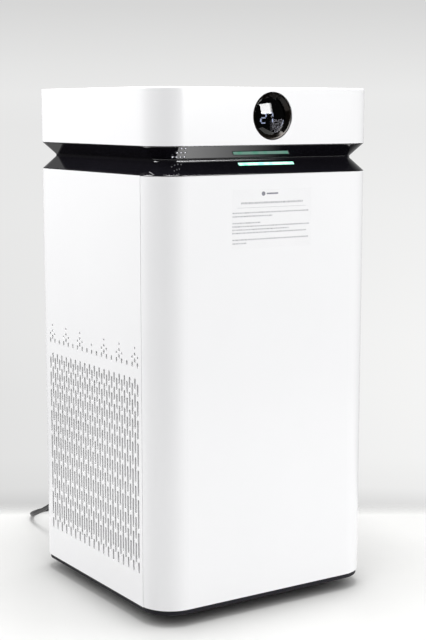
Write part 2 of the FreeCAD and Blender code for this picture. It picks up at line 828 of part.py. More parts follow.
def ionizer_wires():
    """Discharge wires stretched front to back, each end in the frame's inner face."""
    count = 12
    z = ionizer_z + ionizer_height / 2 + 3
    step = (2 * module_half_x - 8) / (count + 1)
    return [rod(0.5, (-module_half_x + 4 + step * n, module_front_y + 4, z),
                (-module_half_x + 4 + step * n, module_back_y - 4, z)) for n in range(1, count + 1)]


def collector_frame():
    """Case of the plate stack: four walls with a deep front and back, and ears for the handle."""
    low = collector_z
    high = collector_z + collector_height
    case = box(-module_half_x, module_half_x, module_front_y, module_back_y, low, high)
    case = case.cut(box(-module_half_x + module_wall, module_half_x - module_wall,
                        module_front_y + collector_skin, module_back_y - collector_skin,
                        low - 1, high + 1))
    pieces = [case]
    for z in (low, high - 4):
        pieces += module_bars(z, z + 4, 3, 4.0)
    for side in (-1, 1):
        low_x, high_x = sorted((side * (bail_half_x + 4), side * (bail_half_x + 10)))
        pieces.append(box(low_x, high_x, bail_y - 4, module_front_y + 1, bail_z - 5, bail_z + 5))
    frame = fuse(pieces)
    hole = rod(bail_radius + running_fit, (-bail_half_x - 9, bail_y, bail_z),
               (bail_half_x + 9, bail_y, bail_z))
    return frame.cut(hole)


def collector_handle():
    """Wire bail that hangs from the two ears, with a thicker grip along its foot."""
    foot = bail_z - bail_drop
    tip = bail_half_x + 8.5
    corners = ((-tip, bail_y, bail_z), (-bail_half_x, bail_y, bail_z), (-bail_half_x, bail_y, foot),
               (bail_half_x, bail_y, foot), (bail_half_x, bail_y, bail_z), (tip, bail_y, bail_z))
    path, radii = rounded_path(corners, bail_bend)
    grip = rod(4.0, (-bail_half_x + 12, bail_y, foot), (bail_half_x - 12, bail_y, foot))
    return fuse([swept_round(path, bail_radius), grip])


def collector_plates():
    plate_wall = 0.8
    count = 25
    low = collector_z + 5
    high = collector_z + collector_height - 5
    step = 2 * (module_half_x - module_wall) / (count + 1)
    return [box(-module_half_x + module_wall + n * step - plate_wall / 2,
                -module_half_x + module_wall + n * step + plate_wall / 2,
                module_front_y + collector_skin, module_back_y - collector_skin, low, high)
            for n in range(1, count + 1)]


def ozone_filter_frame():
    low = ozone_filter_z
    high = ozone_filter_z + ozone_filter_height
    foot = module_box(low, low + 2, 6.0)
    return fuse([module_box(low, high), foot, grip_tab(low + 5, high - 5)])


def ozone_filter_core():
    """Honeycomb block, as a pierced slab that rests on the frame's foot."""
    margin = module_wall + 0.3
    low = ozone_filter_z + 2
    high = ozone_filter_z + ozone_filter_height - 2
    x = module_half_x - margin
    y0 = module_front_y + margin
    y1 = module_back_y - margin
    border = Part.makePolygon([Vec(-x, y0, low), Vec(x, y0, low), Vec(x, y1, low), Vec(-x, y1, low),
                               Vec(-x, y0, low)])
    pitch = 15.0
    wall = 1.6
    row_pitch = pitch * math.sqrt(0.75)
    rows = int((y1 - y0 - pitch) / row_pitch)
    columns = int((2 * x - 1.5 * pitch) / pitch)
    radius = (pitch - wall) / math.sqrt(3)
    first_x = -(columns - 0.5) * pitch / 2
    first_y = (y0 + y1 - (rows - 1) * row_pitch) / 2
    cells = []
    for row in range(rows):
        for column in range(columns):
            cx = first_x + (column + (row % 2) / 2) * pitch
            cy = first_y + row * row_pitch
            ring = [Vec(cx + radius * math.cos(math.radians(30 + 60 * k)),
                        cy + radius * math.sin(math.radians(30 + 60 * k)), low) for k in range(6)]
            cells.append(Part.makePolygon(ring + ring[:1]))
    face = Part.makeFace(Part.makeCompound([border] + cells), "Part::FaceMakerBullseye")
    return face.extrude(Vec(0, 0, high - low))


# ---------------------------------------------------------------- fan
def fan_deck():
    """Deck over the filter bay, with the fan's bell-shaped inlet moulded on."""
    deck = box(-wall_inner_x, wall_inner_x, frame_back_y, back_plate_y, fan_deck_z,
               fan_deck_z + fan_deck_wall)
    deck = deck.cut(cylinder(fan_inlet_radius, fan_deck_z - 1, fan_deck_z + 9, 0, fan_y))
    low = fan_deck_z + fan_deck_wall - 1
    radius = fan_inlet_radius
    bell = turned_z([(radius, low), (radius + 8, low), (radius + 4, low + 4), (radius - 6, low + 12),
                     (radius - 8, low + 12), (radius - 2, low + 4)])
    return deck.fuse(bell)


def turned_z(profile):
    points = [Vec(radius, 0, z) for radius, z in profile]
    face = Part.Face(Part.makePolygon(points + points[:1]))
    solid = face.revolve(Vec(0, 0, 0), Vec(0, 0, 1), 360)
    solid.translate(Vec(0, fan_y, 0))
    return solid


def fan_impeller():
    """Backward-curved centrifugal wheel: inlet shroud, back disc, hub and blades."""
    wall = impeller_wall
    eye = fan_inlet_radius - 4
    shroud = cylinder(impeller_radius, impeller_low, impeller_low + wall, 0, fan_y)
    shroud = shroud.cut(cylinder(eye, impeller_low - 1, impeller_low + wall + 1, 0, fan_y))
    disc = cylinder(impeller_radius, impeller_top - wall, impeller_top, 0, fan_y)
    hub = cylinder(16.0, impeller_top - 24, impeller_top + 2, 0, fan_y)
    bend = impeller_radius * 0.72
    blade = cylinder(bend + wall / 2, impeller_low + 1, impeller_top - 1, bend, fan_y)
    blade = blade.cut(cylinder(bend - wall / 2, 0, height, bend, fan_y))
    blade = blade.common(box(-impeller_radius, impeller_radius, fan_y, fan_y + impeller_radius, 0, height))
    blade = blade.common(cylinder(impeller_radius - 1, 0, height, 0, fan_y))
    blade = blade.cut(cylinder(impeller_radius * 0.6, 0, height, 0, fan_y))
    blades = []
    for index in range(impeller_blades):
        turned = blade.copy()
        turned.rotate(Vec(0, fan_y, 0), Vec(0, 0, 1), index * 360 / impeller_blades)
        blades.append(turned)
    wheel = fuse([shroud, disc, hub] + blades)
    return wheel.cut(cylinder(shaft_radius, 0, height, 0, fan_y))


def motor_shaft():
    return cylinder(shaft_radius, impeller_top - 22, motor_top - 3, 0, fan_y)


def fan_motor():
    can = cylinder(motor_radius, motor_low, motor_top - 4, 0, fan_y)
    flange = cylinder(motor_radius + 12, motor_top - 4, motor_top, 0, fan_y)
    motor = fuse([can, flange])
    motor = motor.cut(cylinder(shaft_radius + 3, 0, motor_top - 2, 0, fan_y))
    for low in bearing_places():
        motor = motor.cut(cylinder(bearing_radius, low, low + bearing_height, 0, fan_y))
    return motor


def bearing_places():
    return (motor_low, motor_top - 6 - bearing_height)


def motor_bearings():
    rings = []
    for low in bearing_places():
        ring = cylinder(bearing_radius, low, low + bearing_height, 0, fan_y)
        rings.append(ring.cut(cylinder(shaft_radius + running_fit, 0, height, 0, fan_y)))
    return rings


def damper_places():
    reach = motor_radius + 6
    return [(reach * math.cos(angle), fan_y + reach * math.sin(angle))
            for angle in (math.radians(45 + 90 * n) for n in range(4))]


def motor_dampers():
    return [cylinder(5.0, motor_top, bridge_low, x, y).cut(cylinder(1.8, 0, height, x, y))
            for x, y in damper_places()]


def motor_bridge():
    """Folded bridge between the inner walls that carries the motor."""
    half = motor_radius + 10
    bridge = box(-wall_inner_x, wall_inner_x, fan_y - half, fan_y + half, bridge_low,
                 bridge_low + bridge_wall)
    for x in (-wall_inner_x + 40, wall_inner_x - 40):
        bridge = bridge.cut(box(x - 22, x + 22, fan_y - half + 12, fan_y + half - 12, 0, height))
    bridge = bridge.cut(cylinder(20.0, 0, height, 0, fan_y))
    lips = [box(-wall_inner_x, wall_inner_x, fan_y + side * half - 1.5, fan_y + side * half + 1.5,
                bridge_low, bridge_low + 14) for side in (-1, 1)]
    return fuse([bridge] + lips)


# ---------------------------------------------------------------- electronics
def board(x0, x1, z0, z1, parts):
    y = board_back_y + 4
    pieces = [box(x0, x1, y, y + board_wall, z0, z1)]
    for px, pz, wide, high, deep in parts:
        pieces.append(box(px, px + wide, y + board_wall, y + board_wall + deep, pz, pz + high))
    for x in (x0 + 5, x1 - 5):
        for z in (z0 + 5, z1 - 5):
            pieces.append(rod(2.5, (x, board_back_y, z), (x, y, z)))
    return pieces


def power_board():
    return board(-100, 20, 90, 190, [(-90, 100, 28, 34, 12), (-50, 110, 20, 20, 10), (-20, 140, 24, 34, 9),
                                     (-88, 150, 16, 26, 8)])


def main_board():
    return board(-95, 60, 340, 440, [(-80, 360, 18, 18, 3), (-40, 380, 24, 24, 3), (10, 350, 12, 40, 8),
                                     (-85, 410, 50, 10, 7)])


def hv_module():
    y = board_back_y
    case = box(-60, 70, y, y + 18, 215, 300)
    boot = rod(4.0, (82, y + 9, 250), (70, y + 9, 250))
    return fuse([case, boot])


def hv_contacts():
    """Sprung contact pads that meet the backs of the ionizer and the collector."""
    pads = []
    for z in (ionizer_z + ionizer_height / 2, collector_z + 40, collector_z + collector_height - 40):
        pads.append(box(-20, -8, back_plate_y - module_back_gap + 1, back_plate_y, z - 5, z + 5))
        pads.append(box(8, 20, back_plate_y - module_back_gap + 1, back_plate_y, z - 5, z + 5))
    return pads


def reed_switch():
    x, z = magnet_places()[1]
    return rod(2.0, (x - 7, frame_back_y + 3, z - 14), (x + 7, frame_back_y + 3, z - 14)).fuse(
        box(x - 9, x + 9, frame_back_y, frame_back_y + 2, z - 17, z - 11))


# ---------------------------------------------------------------- power cord
def cord_gland():
    """Tapered strain relief with a collar on each side of the rear panel."""
    z = gland_height
    profile = [(0.0, -shell_wall - 3.0), (gland_radius + 2.5, -shell_wall - 3.0),
               (gland_radius + 2.5, -shell_wall), (gland_radius - 0.2, -shell_wall),
               (gland_radius - 0.2, 0.0), (gland_radius + 1.5, 0.0), (gland_radius + 1.5, 3.0),
               (gland_radius - 0.5, 3.0), (relief_end_radius, relief_length), (0.0, relief_length)]
    solid = turned_y(profile, half_y, z)
    solid.translate(Vec(gland_x, 0, 0))
    return solid


def power_cord_coil():
    """Outer shape of the put-away turns, lying on the floor."""
    x, y = coil_centre
    outer = coil_inner_turn + (coil_turns_wide - 0.5) * 2 * cord_radius
    inner = coil_inner_turn - cord_radius
    top = coil_layers * 2 * cord_radius
    return cylinder(outer, 0, top, x, y).cut(cylinder(inner, -1, top + 1, x, y))


def placed_plug(shape):
    """Turns a plug piece, made along +Y from the origin, to lie along the end of the cord's tail."""
    end = Vec(*tail_route[-1])
    along = end - Vec(*tail_route[-2])
    shape.rotate(Vec(0, 0, 0), Vec(0, 0, 1), -math.degrees(math.atan2(along.x, along.y)))
    shape.translate(end)
    return shape


def plug_body():
    neck_points = [Vec(0, 0, 0), Vec(cord_radius + 1, 0, 0), Vec(cord_radius + 3, plug_neck + 1, 0),
                   Vec(0, plug_neck + 1, 0)]
    neck_face = Part.Face(Part.makePolygon(neck_points + neck_points[:1]))
    neck = neck_face.revolve(Vec(0, 0, 0), Vec(0, 1, 0), 360)
    body = box(-plug_half_width, plug_half_width, plug_neck, plug_neck + plug_length,
               -plug_half_height, plug_half_height)
    lengthwise = [edge for edge in body.Edges if abs(edge.tangentAt(edge.FirstParameter).y) > 0.9]
    body = body.makeFillet(3.0, lengthwise)
    return placed_plug(fuse([neck, body]))


def plug_blades():
    start = plug_neck + plug_length
    return [placed_plug(box(x - 0.75, x + 0.75, start, start + blade_length, -3.15, 3.15))
            for x in (-blade_spread, blade_spread)]


def cord_tube(points, label):
    path, radii = rounded_path(points)
    tube = swept_round(path, cord_radius)
    share = tube.Volume / (math.pi * cord_radius ** 2 * path.Length)
    print(label, "bend radii", radii, "length", round(path.Length, 1))
    print(label, "volume over section times length", round(share, 4))
    return tube


def main():
    os.makedirs("parts", exist_ok=True)
    panel = side_panel()
    wall = inner_side_wall()
    export("side_panel_left", panel)
    export("side_panel_right", mirrored_x(panel))
    export("inner_wall_left", wall)
    export("inner_wall_right", mirrored_x(wall))
    export("rear_panel", rear_panel())
    export("rear_grip_cup", rear_grip_cup())
    export("front_door", front_door())
    export("door_magnets", *door_magnets())
    export("door_strikers", *door_strikers())
    export("info_film", info_film())
    export("waist_band", waist_band())
    export("led_bar", led_block(0.0))
    export("dust_sensor", dust_sensor())
    export("top_cover", top_cover())
    export("outlet_grille", outlet_grille())
    export("display_bezel", display_bezel())
    export("display_glass", display_glass())
    export("display_digits", *display_digits())
    export("display_board", *display_board())
    export("base_tray", base_tray())
    export("base_screws", *base_screws())
    for number, (x, y) in enumerate(caster_places, 1):
        export(f"caster_fork_{number}", *caster_fork(x, y))
        export(f"caster_wheel_{number}", caster_wheel(x, y))
    export("front_frame", front_frame())
    export("bay_back_plate", bay_back_plate())
    export("rear_screws", *rear_screws())
    export("plenum_floor", plenum_floor())
    export("slide_rails", *slide_rails())
    export("prefilter_frame", prefilter_frame())
    export("prefilter_mesh", prefilter_mesh())
    export("ionizer_frame", ionizer_frame())
    export("ionizer_wires", *ionizer_wires())
    export("collector_frame", collector_frame())
    export("collector_handle", collector_handle())
    export("collector_plates", *collector_plates())
    export("ozone_filter_frame", ozone_filter_frame())
    export("ozone_filter_core", ozone_filter_core())
    export("fan_deck", fan_deck())
    export("fan_impeller", fan_impeller())
    export("motor_shaft", motor_shaft())
    export("fan_motor", fan_motor())
    export("motor_bearings", *motor_bearings())
    export("motor_dampers", *motor_dampers())
    export("motor_bridge", motor_bridge())
    export("power_board", *power_board())
    export("main_board", *main_board())
    export("hv_module", hv_module())
    export("hv_contacts", *hv_contacts())
    export("reed_switch", reed_switch())
    export("cord_gland", cord_gland())
    export("power_cord", cord_tube(lead_route, "cord lead"), cord_tube(tail_route, "cord tail"))
    export("power_cord_coil", power_cord_coil())
    export("plug_body", plug_body())
    export("plug_blades", *plug_blades())


main()
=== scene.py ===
import bmesh
import bpy
import json
import math
import random
from mathutils import Matrix, Vector

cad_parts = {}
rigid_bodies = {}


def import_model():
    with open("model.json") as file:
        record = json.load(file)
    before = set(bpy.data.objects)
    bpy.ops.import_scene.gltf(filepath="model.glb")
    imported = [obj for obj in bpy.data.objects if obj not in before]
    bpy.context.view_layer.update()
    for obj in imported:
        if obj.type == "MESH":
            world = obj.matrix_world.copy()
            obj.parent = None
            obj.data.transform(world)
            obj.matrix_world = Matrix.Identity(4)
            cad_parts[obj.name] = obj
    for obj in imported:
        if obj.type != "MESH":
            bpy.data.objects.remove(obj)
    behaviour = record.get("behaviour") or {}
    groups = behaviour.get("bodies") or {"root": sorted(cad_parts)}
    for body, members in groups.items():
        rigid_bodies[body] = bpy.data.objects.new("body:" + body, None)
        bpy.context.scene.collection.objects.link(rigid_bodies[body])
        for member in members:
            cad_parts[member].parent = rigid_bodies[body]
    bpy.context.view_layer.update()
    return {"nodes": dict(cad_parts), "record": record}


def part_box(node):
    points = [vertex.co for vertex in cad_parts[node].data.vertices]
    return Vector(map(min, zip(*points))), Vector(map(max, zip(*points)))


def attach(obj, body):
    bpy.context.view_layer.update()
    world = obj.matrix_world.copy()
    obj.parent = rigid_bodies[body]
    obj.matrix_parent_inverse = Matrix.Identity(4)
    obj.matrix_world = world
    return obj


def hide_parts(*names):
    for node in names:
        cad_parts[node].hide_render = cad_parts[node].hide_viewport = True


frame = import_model()
print("frame loaded:", len(frame["nodes"]), "nodes")

scene = bpy.context.scene
scene.view_settings.view_transform = "Standard"
collection = scene.collection
millimetre = 0.001

camera = {
    "place": (-0.9772, -1.5247, 0.6114),
    "turn": -33.10,   # degrees from looking along +Y
    "down": 8.47,
    "lens": 79.26,
    "sensor": 36.0,
}
cameraData = bpy.data.cameras.new("studioCamera")
cameraData.lens = camera["lens"]
cameraData.sensor_width = camera["sensor"]
studioCamera = bpy.data.objects.new("studioCamera", cameraData)
studioCamera.location = camera["place"]
studioCamera.rotation_euler = (math.radians(90 - camera["down"]), 0, math.radians(camera["turn"]))
collection.objects.link(studioCamera)
scene.camera = studioCamera
print("camera placed")


def keep(name, data, material, body):
    piece = bpy.data.objects.new(name, data)
    collection.objects.link(piece)
    piece.data.materials.append(material)
    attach(piece, body)
    return piece


def meshFrom(name, build, smooth=False):
    shape = bmesh.new()
    build(shape)
    bmesh.ops.recalc_face_normals(shape, faces=shape.faces)
    data = bpy.data.meshes.new(name)
    shape.to_mesh(data)
    shape.free()
    if smooth:
        data.polygons.foreach_set("use_smooth", [True] * len(data.polygons))
    return data


def slab(shape, low, high):
    corners = bmesh.ops.create_cube(shape, size=1.0)["verts"]
    middle = (Vector(low) + Vector(high)) / 2
    size = Vector(high) - Vector(low)
    for corner in corners:
        corner.co = Vector(corner.co[axis] * size[axis] for axis in range(3)) + middle
    return corners


# nodes and links in one line each
def addNode(tree, kind, inputs=None, **settings):
    made = tree.nodes.new(kind)
    for name, value in settings.items():
        setattr(made, name, value)
    for key, value in (inputs or {}).items():
        if isinstance(value, bpy.types.NodeSocket):
            tree.links.new(value, made.inputs[key])
        else:
            made.inputs[key].default_value = value
    return made


def maths(tree, operation, first, second=0.0, clamp=False):
    made = addNode(tree, "ShaderNodeMath", {0: first, 1: second}, operation=operation, use_clamp=clamp)
    return made.outputs[0]


def ramp(tree, value, low, high, fromLow=0.0, fromHigh=1.0):
    made = addNode(tree, "ShaderNodeMapRange", {"Value": value, "From Min": fromLow, "From Max": fromHigh,
                                                "To Min": low, "To Max": high})
    return made.outputs[0]


def tint(tree, mask, under, over, blend="MIX"):
    made = addNode(tree, "ShaderNodeMix", {0: mask, 6: under, 7: over},
                   data_type="RGBA", blend_type=blend)
    return made.outputs[2]


def colour(red, green, blue):
    return (red, green, blue, 1.0)


def newGroup(name, inputs, outputs):
    tree = bpy.data.node_groups.new(name, "ShaderNodeTree")
    for label, start in inputs.items():
        socket = tree.interface.new_socket(name=label, in_out="INPUT", socket_type="NodeSocketFloat")
        socket.default_value = start
    for label, kind in outputs.items():
        tree.interface.new_socket(name=label, in_out="OUTPUT", socket_type="NodeSocket" + kind)
    return tree, addNode(tree, "NodeGroupInput"), addNode(tree, "NodeGroupOutput")


def useGroup(tree, group, **inputs):
    return addNode(tree, "ShaderNodeGroup", inputs, node_tree=group)


def objectPoint(tree):
    return addNode(tree, "ShaderNodeTexCoord").outputs["Object"]


def noise(tree, point, scale, detail, **more):
    inputs = {"Vector": point, "Scale": scale, "Detail": detail, **more}
    return addNode(tree, "ShaderNodeTexNoise", inputs).outputs[0]


def dotProduct(tree, first, second):
    made = addNode(tree, "ShaderNodeVectorMath", {0: first, 1: second}, operation="DOT_PRODUCT")
    return made.outputs["Value"]


def surfaceFacts(tree, name):
    return addNode(tree, "ShaderNodeNewGeometry").outputs[name]


def makeMouldGrain():
    tree, given, out = newGroup("mouldGrain", {"Scale": 900.0, "Detail": 2.0}, {"Height": "Float"})
    point = objectPoint(tree)
    fine = noise(tree, point, given.outputs["Scale"], given.outputs["Detail"], Roughness=0.55)
    wide = noise(tree, point, maths(tree, "MULTIPLY", given.outputs["Scale"], 0.12), 1.0)
    height = maths(tree, "ADD", fine, maths(tree, "MULTIPLY", wide, 0.6))
    tree.links.new(height, out.inputs["Height"])
    return tree


def makeSlowShade():
    tree, given, out = newGroup("slowShade", {"Scale": 6.0, "Spread": 0.05},
                                {"Shade": "Float", "Blotch": "Float"})
    cloud = noise(tree, objectPoint(tree), given.outputs["Scale"], 4.0, Roughness=0.6)
    blotch = ramp(tree, cloud, 0.0, 1.0, 0.3, 0.7)
    low = maths(tree, "SUBTRACT", 1.0, given.outputs["Spread"])
    tree.links.new(ramp(tree, blotch, low, 1.0), out.inputs["Shade"])
    tree.links.new(blotch, out.inputs["Blotch"])
    return tree


def makeEdgeWearAndSheen():
    tree, given, out = newGroup("edgeWearAndSheen", {"Width": 0.001, "Break": 60.0}, {"Edge": "Float"})
    soft = addNode(tree, "ShaderNodeBevel", {"Radius": given.outputs["Width"]}, samples=4)
    same = dotProduct(tree, soft.outputs[0], surfaceFacts(tree, "Normal"))
    bend = ramp(tree, same, 1.0, 0.0, 0.75, 0.98)
    patch = noise(tree, objectPoint(tree), given.outputs["Break"], 3.0)
    worn = maths(tree, "MULTIPLY", bend, ramp(tree, patch, 0.15, 1.0, 0.35, 0.6), clamp=True)
    tree.links.new(worn, out.inputs["Edge"])
    return tree


def makeRestingDust():
    tree, given, out = newGroup("restingDust", {"Amount": 0.3, "Scale": 240.0}, {"Dust": "Float"})
    facing = addNode(tree, "ShaderNodeSeparateXYZ", {0: surfaceFacts(tree, "Normal")})
    upward = ramp(tree, facing.outputs["Z"], 0.0, 1.0, 0.2, 0.95)
    point = objectPoint(tree)
    specks = noise(tree, point, given.outputs["Scale"], 5.0, Roughness=0.7)
    drift = noise(tree, point, 14.0, 2.0)
    laid = maths(tree, "MULTIPLY", ramp(tree, specks, 0.0, 1.0, 0.45, 0.75), drift)
    laid = maths(tree, "MULTIPLY", laid, upward)
    tree.links.new(maths(tree, "MULTIPLY", laid, given.outputs["Amount"], clamp=True), out.inputs["Dust"])
    return tree


def makeBrushedLines():
    tree, given, out = newGroup("brushedLines", {"Scale": 900.0, "Stretch": 0.03}, {"Streak": "Float"})
    squeeze = addNode(tree, "ShaderNodeCombineXYZ", {"X": 1.0, "Y": given.outputs["Stretch"], "Z": 1.0})
    thin = addNode(tree, "ShaderNodeVectorMath", {0: objectPoint(tree), 1: squeeze.outputs[0]},
                   operation="MULTIPLY")
    lines = noise(tree, thin.outputs[0], given.outputs["Scale"], 3.0, Roughness=0.65)
    tree.links.new(lines, out.inputs["Streak"])
    return tree


mouldGrain = makeMouldGrain()
slowShade = makeSlowShade()
edgeWearAndSheen = makeEdgeWearAndSheen()
restingDust = makeRestingDust()
brushedLines = makeBrushedLines()
print("shared node groups made")


def newMaterial(name, plain):
    made = bpy.data.materials.new(name)
    made.use_nodes = True
    tree = made.node_tree
    tree.nodes.clear()
    shader = addNode(tree, "ShaderNodeBsdfPrincipled", plain)
    addNode(tree, "ShaderNodeOutputMaterial", {"Surface": shader.outputs[0]})
    return made, tree, shader


def join(tree, shader, **sockets):
    names = {"base": "Base Color", "rough": "Roughness", "normal": "Normal", "alpha": "Alpha",
             "metal": "Metallic", "glow": "Emission Color"}
    for key, source in sockets.items():
        tree.links.new(source, shader.inputs[names[key]])


def bump(tree, height, depth):
    return addNode(tree, "ShaderNodeBump", {"Distance": depth, "Height": height}).outputs[0]


lyingDust = {"colour": (0.55, 0.53, 0.50), "roughness": 0.35}


# moulded plastic: tone drift, spark grain, paler edges (rubbed wear on the dark pieces, a painted highlight
# on the white shell), dust where it can lie
def mouldedPlastic(name, look):
    made, tree, shader = newMaterial(name, {"IOR": look.get("ior", 1.5)})
    shade = useGroup(tree, slowShade, Scale=look["driftScale"], Spread=look["drift"])
    grain = useGroup(tree, mouldGrain, Scale=look["grainScale"])
    edge = useGroup(tree, edgeWearAndSheen, Width=look["edgeWidth"])
    dust = useGroup(tree, restingDust, Amount=look["dust"])
    base = tint(tree, 1.0, colour(*look["colour"]), shade.outputs["Shade"], "MULTIPLY")
    rubbedAndSheen = maths(tree, "MULTIPLY", edge.outputs["Edge"], look["rubAndSheen"])
    base = tint(tree, rubbedAndSheen, base, colour(*look["rubAndSheenColour"]))
    base = tint(tree, dust.outputs["Dust"], base, colour(*lyingDust["colour"]))
    dulled = maths(tree, "MULTIPLY", dust.outputs["Dust"], lyingDust["roughness"])
    rough = ramp(tree, shade.outputs["Blotch"], *look["roughness"])
    join(tree, shader, base=base, rough=maths(tree, "ADD", rough, dulled, clamp=True),
         normal=bump(tree, grain.outputs["Height"], look["grainDepth"]))
    return made


# painted highlight: the white shell's edges are made paler, for the thin highlight along them
whiteShell = mouldedPlastic("whiteShell", {
    "colour": (0.885, 0.885, 0.893), "drift": 0.018, "driftScale": 5.0, "roughness": (0.20, 0.27),
    "grainScale": 1500.0, "grainDepth": 0.000004, "edgeWidth": 0.0012, "rubAndSheen": 0.25,
    "rubAndSheenColour": (0.93, 0.93, 0.93), "dust": 0.10,
})
# grey duct plastic, made darker still as painted shade for the shaded inside of the duct that shows through
# the slots
ductGreyAndShade = mouldedPlastic("ductGreyAndShade", {
    "colour": (0.42, 0.415, 0.40), "drift": 0.06, "driftScale": 9.0, "roughness": (0.42, 0.55),
    "grainScale": 1100.0, "grainDepth": 0.00002, "edgeWidth": 0.001, "rubAndSheen": 0.3,
    "rubAndSheenColour": (0.55, 0.54, 0.53), "dust": 0.5,
})
blackMoulding = mouldedPlastic("blackMoulding", {
    "colour": (0.010, 0.009, 0.014), "drift": 0.20, "driftScale": 12.0,
    "roughness": (0.42, 0.56), "ior": 1.32,
    "grainScale": 1300.0, "grainDepth": 0.00003, "edgeWidth": 0.001, "rubAndSheen": 0.35,
    "rubAndSheenColour": (0.07, 0.07, 0.075), "dust": 0.45,
})
screenBlack = mouldedPlastic("screenBlack", {
    "colour": (0.004, 0.004, 0.006), "drift": 0.10, "driftScale": 30.0,
    "roughness": (0.90, 0.97), "ior": 1.1,
    "grainScale": 1300.0, "grainDepth": 0.0, "edgeWidth": 0.0004, "rubAndSheen": 0.1,
    "rubAndSheenColour": (0.02, 0.02, 0.02), "dust": 0.05,
})
darkGreyMoulding = mouldedPlastic("darkGreyMoulding", {
    "colour": (0.085, 0.085, 0.09), "drift": 0.12, "driftScale": 12.0, "roughness": (0.38, 0.50),
    "grainScale": 1200.0, "grainDepth": 0.00003, "edgeWidth": 0.001, "rubAndSheen": 0.35,
    "rubAndSheenColour": (0.20, 0.20, 0.21), "dust": 0.45,
})
rubberBlack = mouldedPlastic("rubberBlack", {
    "colour": (0.020, 0.020, 0.021), "drift": 0.25, "driftScale": 30.0, "roughness": (0.55, 0.70),
    "grainScale": 1600.0, "grainDepth": 0.00003, "edgeWidth": 0.0006, "rubAndSheen": 0.3,
    "rubAndSheenColour": (0.06, 0.06, 0.06), "dust": 0.5,
})
casterGrey = mouldedPlastic("casterGrey", {
    "colour": (0.11, 0.11, 0.115), "drift": 0.25, "driftScale": 60.0, "roughness": (0.45, 0.62),
    "grainScale": 1500.0, "grainDepth": 0.00003, "edgeWidth": 0.0008, "rubAndSheen": 0.4,
    "rubAndSheenColour": (0.24, 0.23, 0.22), "dust": 0.6,
})
cordSheath = mouldedPlastic("cordSheath", {
    "colour": (0.016, 0.016, 0.017), "drift": 0.20, "driftScale": 25.0, "roughness": (0.36, 0.48),
    "grainScale": 1800.0, "grainDepth": 0.00002, "edgeWidth": 0.0004, "rubAndSheen": 0.15,
    "rubAndSheenColour": (0.05, 0.05, 0.05), "dust": 0.35,
})


# mirror black: the normal is eased round tight edges, so that they carry a fine highlight
def glossBlack(look):
    made, tree, shader = newMaterial("glossBlack", {"IOR": look["ior"]})
    shade = useGroup(tree, slowShade, Scale=look["driftScale"], Spread=look["drift"])
    dust = useGroup(tree, restingDust, Amount=look["dust"], Scale=look["dustScale"])
    swirl = noise(tree, objectPoint(tree), look["swirlScale"], 6.0, Distortion=1.6)
    base = tint(tree, 1.0, colour(*look["colour"]), shade.outputs["Shade"], "MULTIPLY")
    base = tint(tree, dust.outputs["Dust"], base, colour(*look["dustColour"]))
    rough = ramp(tree, swirl, *look["roughness"], 0.4, 0.7)
    rough = maths(tree, "ADD", rough, maths(tree, "MULTIPLY", dust.outputs["Dust"], 0.4), clamp=True)
    eased = addNode(tree, "ShaderNodeBevel", {"Radius": look["ease"]}, samples=12)
    join(tree, shader, base=base, rough=rough, normal=eased.outputs[0])
    return made


mirrorBlack = glossBlack({
    "colour": (0.006, 0.0055, 0.008), "drift": 0.25, "driftScale": 18.0, "ior": 1.85,
    "roughness": (0.012, 0.035), "swirlScale": 46.0, "dust": 0.03, "dustScale": 420.0,
    "dustColour": (0.35, 0.34, 0.33), "ease": 0.0018,
})


def ringFinish(look):
    made, tree, shader = newMaterial("bronzeRing", {"IOR": 1.5})
    streak = useGroup(tree, brushedLines, Scale=look["lineScale"], Stretch=1.0)
    shade = useGroup(tree, slowShade, Scale=look["driftScale"], Spread=0.3)
    base = tint(tree, shade.outputs["Blotch"], colour(*look["dark"]), colour(*look["warm"]))
    rough = ramp(tree, streak.outputs["Streak"], *look["roughness"])
    metal = ramp(tree, shade.outputs["Blotch"], *look["metal"])
    join(tree, shader, base=base, rough=rough, metal=metal,
         normal=bump(tree, streak.outputs["Streak"], look["lineDepth"]))
    return made


bronzeRing = ringFinish({
    "dark": (0.006, 0.006, 0.006), "warm": (0.020, 0.014, 0.010), "driftScale": 40.0,
    "roughness": (0.10, 0.20), "metal": (0.5, 0.8), "lineScale": 1400.0, "lineDepth": 0.000004,
})


def litFinish(name, look):
    plain = {"Roughness": 0.3, "Emission Strength": look["strength"], "IOR": 1.49}
    made, tree, shader = newMaterial(name, plain)
    cells = noise(tree, objectPoint(tree), look["cellScale"], 1.0)
    mask = ramp(tree, cells, 0.0, 1.0, 0.35, 0.65)
    tone = tint(tree, mask, colour(*look["dim"]), colour(*look["bright"]))
    join(tree, shader, base=tone, glow=tone)
    return made


litGuide = litFinish("litGuide", {
    "dim": (0.22, 0.95, 0.62), "bright": (0.50, 1.0, 0.80), "strength": 1.2, "cellScale": 90.0})
litFigures = litFinish("litFigures", {
    "dim": (0.62, 0.72, 1.0), "bright": (0.82, 0.90, 1.0), "strength": 7.0, "cellScale": 300.0})
# painted highlight: the sensor ports' dots glow by their own light, though they are no lamp
sensorPaintedGlow = litFinish("sensorPaintedGlow", {
    "dim": (0.55, 0.55, 0.60), "bright": (0.95, 0.95, 1.0), "strength": 0.8, "cellScale": 500.0})


def smokedLens(look):
    plain = {"IOR": look["ior"], "Transmission Weight": 1.0, "Metallic": 0.0}
    made, tree, shader = newMaterial("smokedLens", plain)
    swirl = noise(tree, objectPoint(tree), look["swirlScale"], 3.0)
    base = tint(tree, swirl, colour(*look["deep"]), colour(*look["clear"]))
    rough = ramp(tree, swirl, 0.0, look["haze"], 0.45, 0.8)
    join(tree, shader, base=base, rough=rough)
    return made


